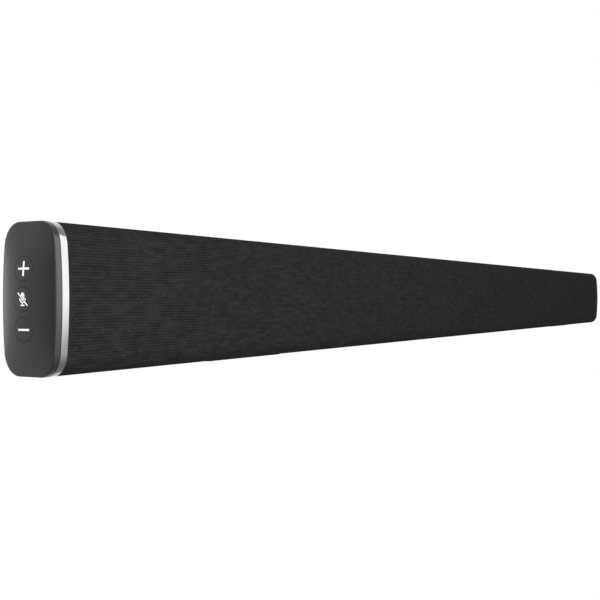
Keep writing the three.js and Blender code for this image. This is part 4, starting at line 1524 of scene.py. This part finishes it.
def block(half: tuple[float, float], radius: float, middle: tuple[float, float],
          reach: tuple[float, float], edge: float = 0.0) -> bpy.types.Object:
    """A block along Y with rounded corners and, at its far end, a quarter-round edge where it has one.

    Args:
        half: half its width and height.
        radius: the radius of its corners.
        middle: its middle (x, z).
        reach: where it starts and ends along Y.
        edge: the radius of its far edge.

    Returns:
        The block.
    """
    turn = np.linspace(0.0, math.pi / 2, 5 if edge else 1)
    rounded = [(edge * (1 - math.cos(t)), reach[1] - edge * (1 - math.sin(t))) for t in turn]
    levels = [(0.0, reach[0]), *rounded]
    rows = np.stack([ring(half, middle, inset, y, radius) for inset, y in levels])
    return Patchwork().grid(rows, close_columns=True).polygon(rows[0]).polygon(rows[-1]).piece("block")


def slab(foot: str, levels: list[tuple[float, float]], name: str) -> bpy.types.Object:
    """A solid with a foot's outline, which has round ends.

    Args:
        foot: the foot's CAD node.
        levels: (height, how far outside the foot the outline runs), from the lowest up.
        name: the piece's name.

    Returns:
        The solid.
    """
    low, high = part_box(foot)
    middle = [(low.x + high.x) / 2, (low.y + high.y) / 2]
    rows = []
    for z, wider in levels:
        half = ((high.x - low.x) / 2 + wider, (high.y - low.y) / 2 + wider)
        outline = rounded_rectangle(*half, 3.2 * MM + wider, 6) + middle
        rows.append(np.column_stack([outline, np.full(len(outline), z)]))
    return Patchwork().grid(np.stack(rows), close_columns=True).polygon(rows[0]).polygon(rows[-1]).piece(name)


def dress_inside() -> None:
    """Gives each CAD node that keeps its own shape a finish, by the last words of its name."""
    finishes = {
        "grille_frame": BLACK, "baffle": BLACK, "gasket": RUBBER, "basket": BASKET, "magnet": STEEL,
        "body": BLACK, "dome": PAPER, "main_board": BOARD, "button_board": BOARD, "microphone_board": BOARD,
        "spreader": SPREADER, "carrier": BLACK, "plunger": BLACK, "switch": SWITCH, "carrier_screw_1": STEEL,
        "carrier_screw_2": STEEL,
    }
    for name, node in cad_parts.items():
        finish = next((finish for ending, finish in finishes.items() if name.endswith(ending)), None)
        if finish and not node.hide_render:
            node.data.materials.clear()
            node.data.materials.append(finish.material())
            LOG.info("%s keeps its shape, in %s", name, finish.name)


# ---- Camera, light and stage ----


@dataclass(frozen=True)
class Viewpoint:
    """Where the camera stands: a little to the left of the cloth's end, close by, and level."""

    left_of_cloth: float = 0.35125
    ahead_of_front: float = 0.33141
    above_axis: float = 0.00083
    heading: float = 29.59  # degrees from +X towards +Y
    lens: float = 56.56
    shift: tuple[float, float] = (-0.0007, -0.0041)  # moves the horizon a little above the middle

    def build(self) -> None:
        """Makes the scene's camera."""
        data = bpy.data.cameras.new("camera")
        data.lens = self.lens
        data.sensor_width = 36.0
        data.shift_x, data.shift_y = self.shift
        camera = bpy.data.objects.new("camera", data)
        start = span("fabric_sleeve", 0)[0]
        front = span("fabric_sleeve", 1)[0]
        camera.location = (start - self.left_of_cloth, front - self.ahead_of_front,
                           SECTION.axis_z + self.above_axis)
        camera.rotation_euler = Euler((math.pi / 2, 0.0, math.radians(self.heading - 90)))
        bpy.context.scene.collection.objects.link(camera)
        bpy.context.scene.camera = camera


@dataclass(frozen=True)
class Studio:
    """A white tent with a pale floor well below the bar, and soft light that falls off to its ends."""

    floor_drop: float = 1.6
    radius: float = 9.0
    key_radiance: float = 6.3
    key_size: float = 1.4
    key_offset: tuple[float, float, float] = (-0.9, -1.17, 0.16)  # from the cloth's left end

    def build(self) -> None:
        """Makes the backdrop, the floor and the light."""
        self.make_world()
        self.make_stage()
        self.make_key()
        bpy.context.scene.view_settings.view_transform = "Standard"

    def make_stage(self) -> None:
        """Makes the backdrop, a great sphere, and the floor, a disc; only the camera sees them."""
        paper = bpy.data.materials.new("white_paper")
        paper.use_nodes = True
        nodes = Nodes(paper.node_tree)
        nodes.feed(nodes.tree.nodes["Material Output"], "Surface", nodes.node("Emission").outputs[0])
        turn = np.linspace(0.0, math.pi, 33)
        sphere = turned(np.stack([np.sin(turn), np.cos(turn)], axis=1) * self.radius, (0.0, 0.0), Axis.Y)
        backdrop = Patchwork().grid(sphere, close_columns=True).piece("backdrop")
        edge = np.linspace(0.0, 2 * math.pi, 64, endpoint=False)
        disc = np.stack([np.cos(edge), np.sin(edge), np.zeros_like(edge)], axis=1) * self.radius * 0.9
        floor = Patchwork().polygon(disc - [0.0, 0.0, self.floor_drop]).piece("studio_floor")
        for sheet in (backdrop, floor):
            sheet.data.materials.append(paper)
            for kind in ("diffuse", "glossy", "transmission", "volume_scatter", "shadow"):
                setattr(sheet, "visible_" + kind, False)
        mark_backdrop(backdrop, floor)

    def make_world(self) -> None:
        """Light from all round, by the turn about the bar's length and by how far it comes from the left.

        The turn runs from -1 behind underneath, through 0 at the front, to 1 behind: it is the angle of
        (-y, z) over half a circle.
        """
        world = bpy.data.worlds.new("tent")
        bpy.context.scene.world = world
        world.use_nodes = True
        nodes = Nodes(world.node_tree)
        direction = nodes.node("TexCoord").outputs["Generated"]
        x, y, z = nodes.node("SeparateXYZ", {0: direction}).outputs
        turn = nodes.math("ARCTAN2", z, nodes.product(y, -1.0))
        about = self.ramp(nodes, turn, (-math.pi, math.pi), [
            (-180, 1.0), (-160, 0.85), (-112, 0.45), (-103, 0.48), (-96, 0.15), (-60, 0.13), (-43, 0.16),
            (-24, 0.27), (-12.8, 0.37), (-9.5, 0.54), (-6.4, 0.71), (-3.5, 0.88), (0, 0.98), (42, 1.0),
            (48, 0.24), (80, 0.24), (88, 0.42), (97, 0.5), (155, 0.9), (180, 1.0)], 180)
        along = self.ramp(nodes, x, (-1.0, 1.0), [
            (-1.0, 0.15), (-0.93, 0.24), (-0.8, 0.32), (-0.6, 0.4), (-0.3, 0.55), (0.1, 1.0), (1.0, 1.0)], 1)
        background = nodes.tree.nodes["Background"]
        nodes.feed(background, "Strength", nodes.product(about, along))
        nodes.feed(background, "Color", (1.0, 1.0, 1.0, 1.0))

    @staticmethod
    def ramp(nodes: Nodes, value: bpy.types.NodeSocket, reach: tuple[float, float],
             stops: list[tuple[float, float]], whole: float) -> bpy.types.NodeSocket:
        """A level that follows a value through stops.

        Args:
            nodes: the nodes that it joins.
            value: the value.
            reach: the value's lowest and highest.
            stops: (place, level), with places from -whole to whole.
            whole: the place that stands for the value's highest.

        Returns:
            The level's socket.
        """
        share = nodes.node("MapRange", {0: value, 1: reach[0], 2: reach[1]}).outputs[0]
        ramp = nodes.node("ValToRGB", {0: share})
        elements = ramp.color_ramp.elements
        while len(elements) < len(stops):
            elements.new(0.5)
        for element, (place, level) in zip(elements, stops):
            element.position = (place / whole + 1) / 2
            element.color = (level, level, level, 1.0)
        return ramp.outputs[0]

    def make_key(self) -> None:
        """A large softbox ahead of the bar's left end, so that the light falls off to the right."""
        data = bpy.data.lights.new("key_softbox", "AREA")
        data.shape = "SQUARE"
        data.size = self.key_size
        data.energy = self.key_radiance * 4 * self.key_size**2
        light = bpy.data.objects.new("key_softbox", data)
        target = Vector((span("fabric_sleeve", 0)[0], 0.0, SECTION.axis_z))
        light.location = target + Vector(self.key_offset)
        light.rotation_euler = (target - light.location).to_track_quat("-Z", "Y").to_euler()
        light.visible_glossy = False
        bpy.context.scene.collection.objects.link(light)


# ---- The whole bar ----


DOME_SAG = 4.4 * MM  # from a cap's tip back to its rim
FACE_DEEP = 3.4 * MM  # from a cap's tip back to the inside of its face
SHELF_DEEP = 5.4 * MM  # from a cap's tip back to the ledge round the inside of its face
HOLE_RADIUS = 6.15 * MM


def left_end() -> list[SubAssembly]:
    """The left cap with its three buttons."""
    base = span("left_end_cap", 0)[1]
    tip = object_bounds()[0][0]
    marks = {"volume_up": Mark.PLUS, "mic_mute": Mark.MICROPHONE_OFF, "volume_down": Mark.MINUS}
    heights = tuple(middle_xz(name + "_button")[1] - SECTION.axis_z for name in marks)
    cap = EndCap("left_end_cap", "control_cap", tip + DOME_SAG, tip, base, CHARCOAL, HOLE_RADIUS, heights,
                 face_x=tip + FACE_DEEP, shelf_x=tip + SHELF_DEEP)
    return [cap, *(PushButton(name, mark, cap.dome) for name, mark in marks.items())]


def right_end() -> EndCap:
    """The plain right cap."""
    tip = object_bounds()[1][0]
    base = span("right_end_cap", 0)[0]
    return EndCap("right_end_cap", "plain_cap", tip - DOME_SAG, tip, base, BLACK,
                  face_x=tip - FACE_DEEP, shelf_x=tip - SHELF_DEEP)


def main() -> None:
    """Builds the camera, the stage and each sub-assembly in turn."""
    logging.basicConfig(level=logging.INFO, format="%(name)s: %(message)s")
    Viewpoint().build()
    Studio().build()
    housings = [RearHousing(f"rear_housing_{side}") for side in ("left", "centre", "right")]
    cones = [LoudspeakerCone(number) for number in range(1, 5)]
    for part in [GrilleCover(), TrimRing(), *left_end(), right_end(), *housings, Feet(), Fixings(),
                 ConnectorBay(), *cones]:
        part.build()
        part.dress()
    dress_inside()


if __name__ == "__main__":
    main()
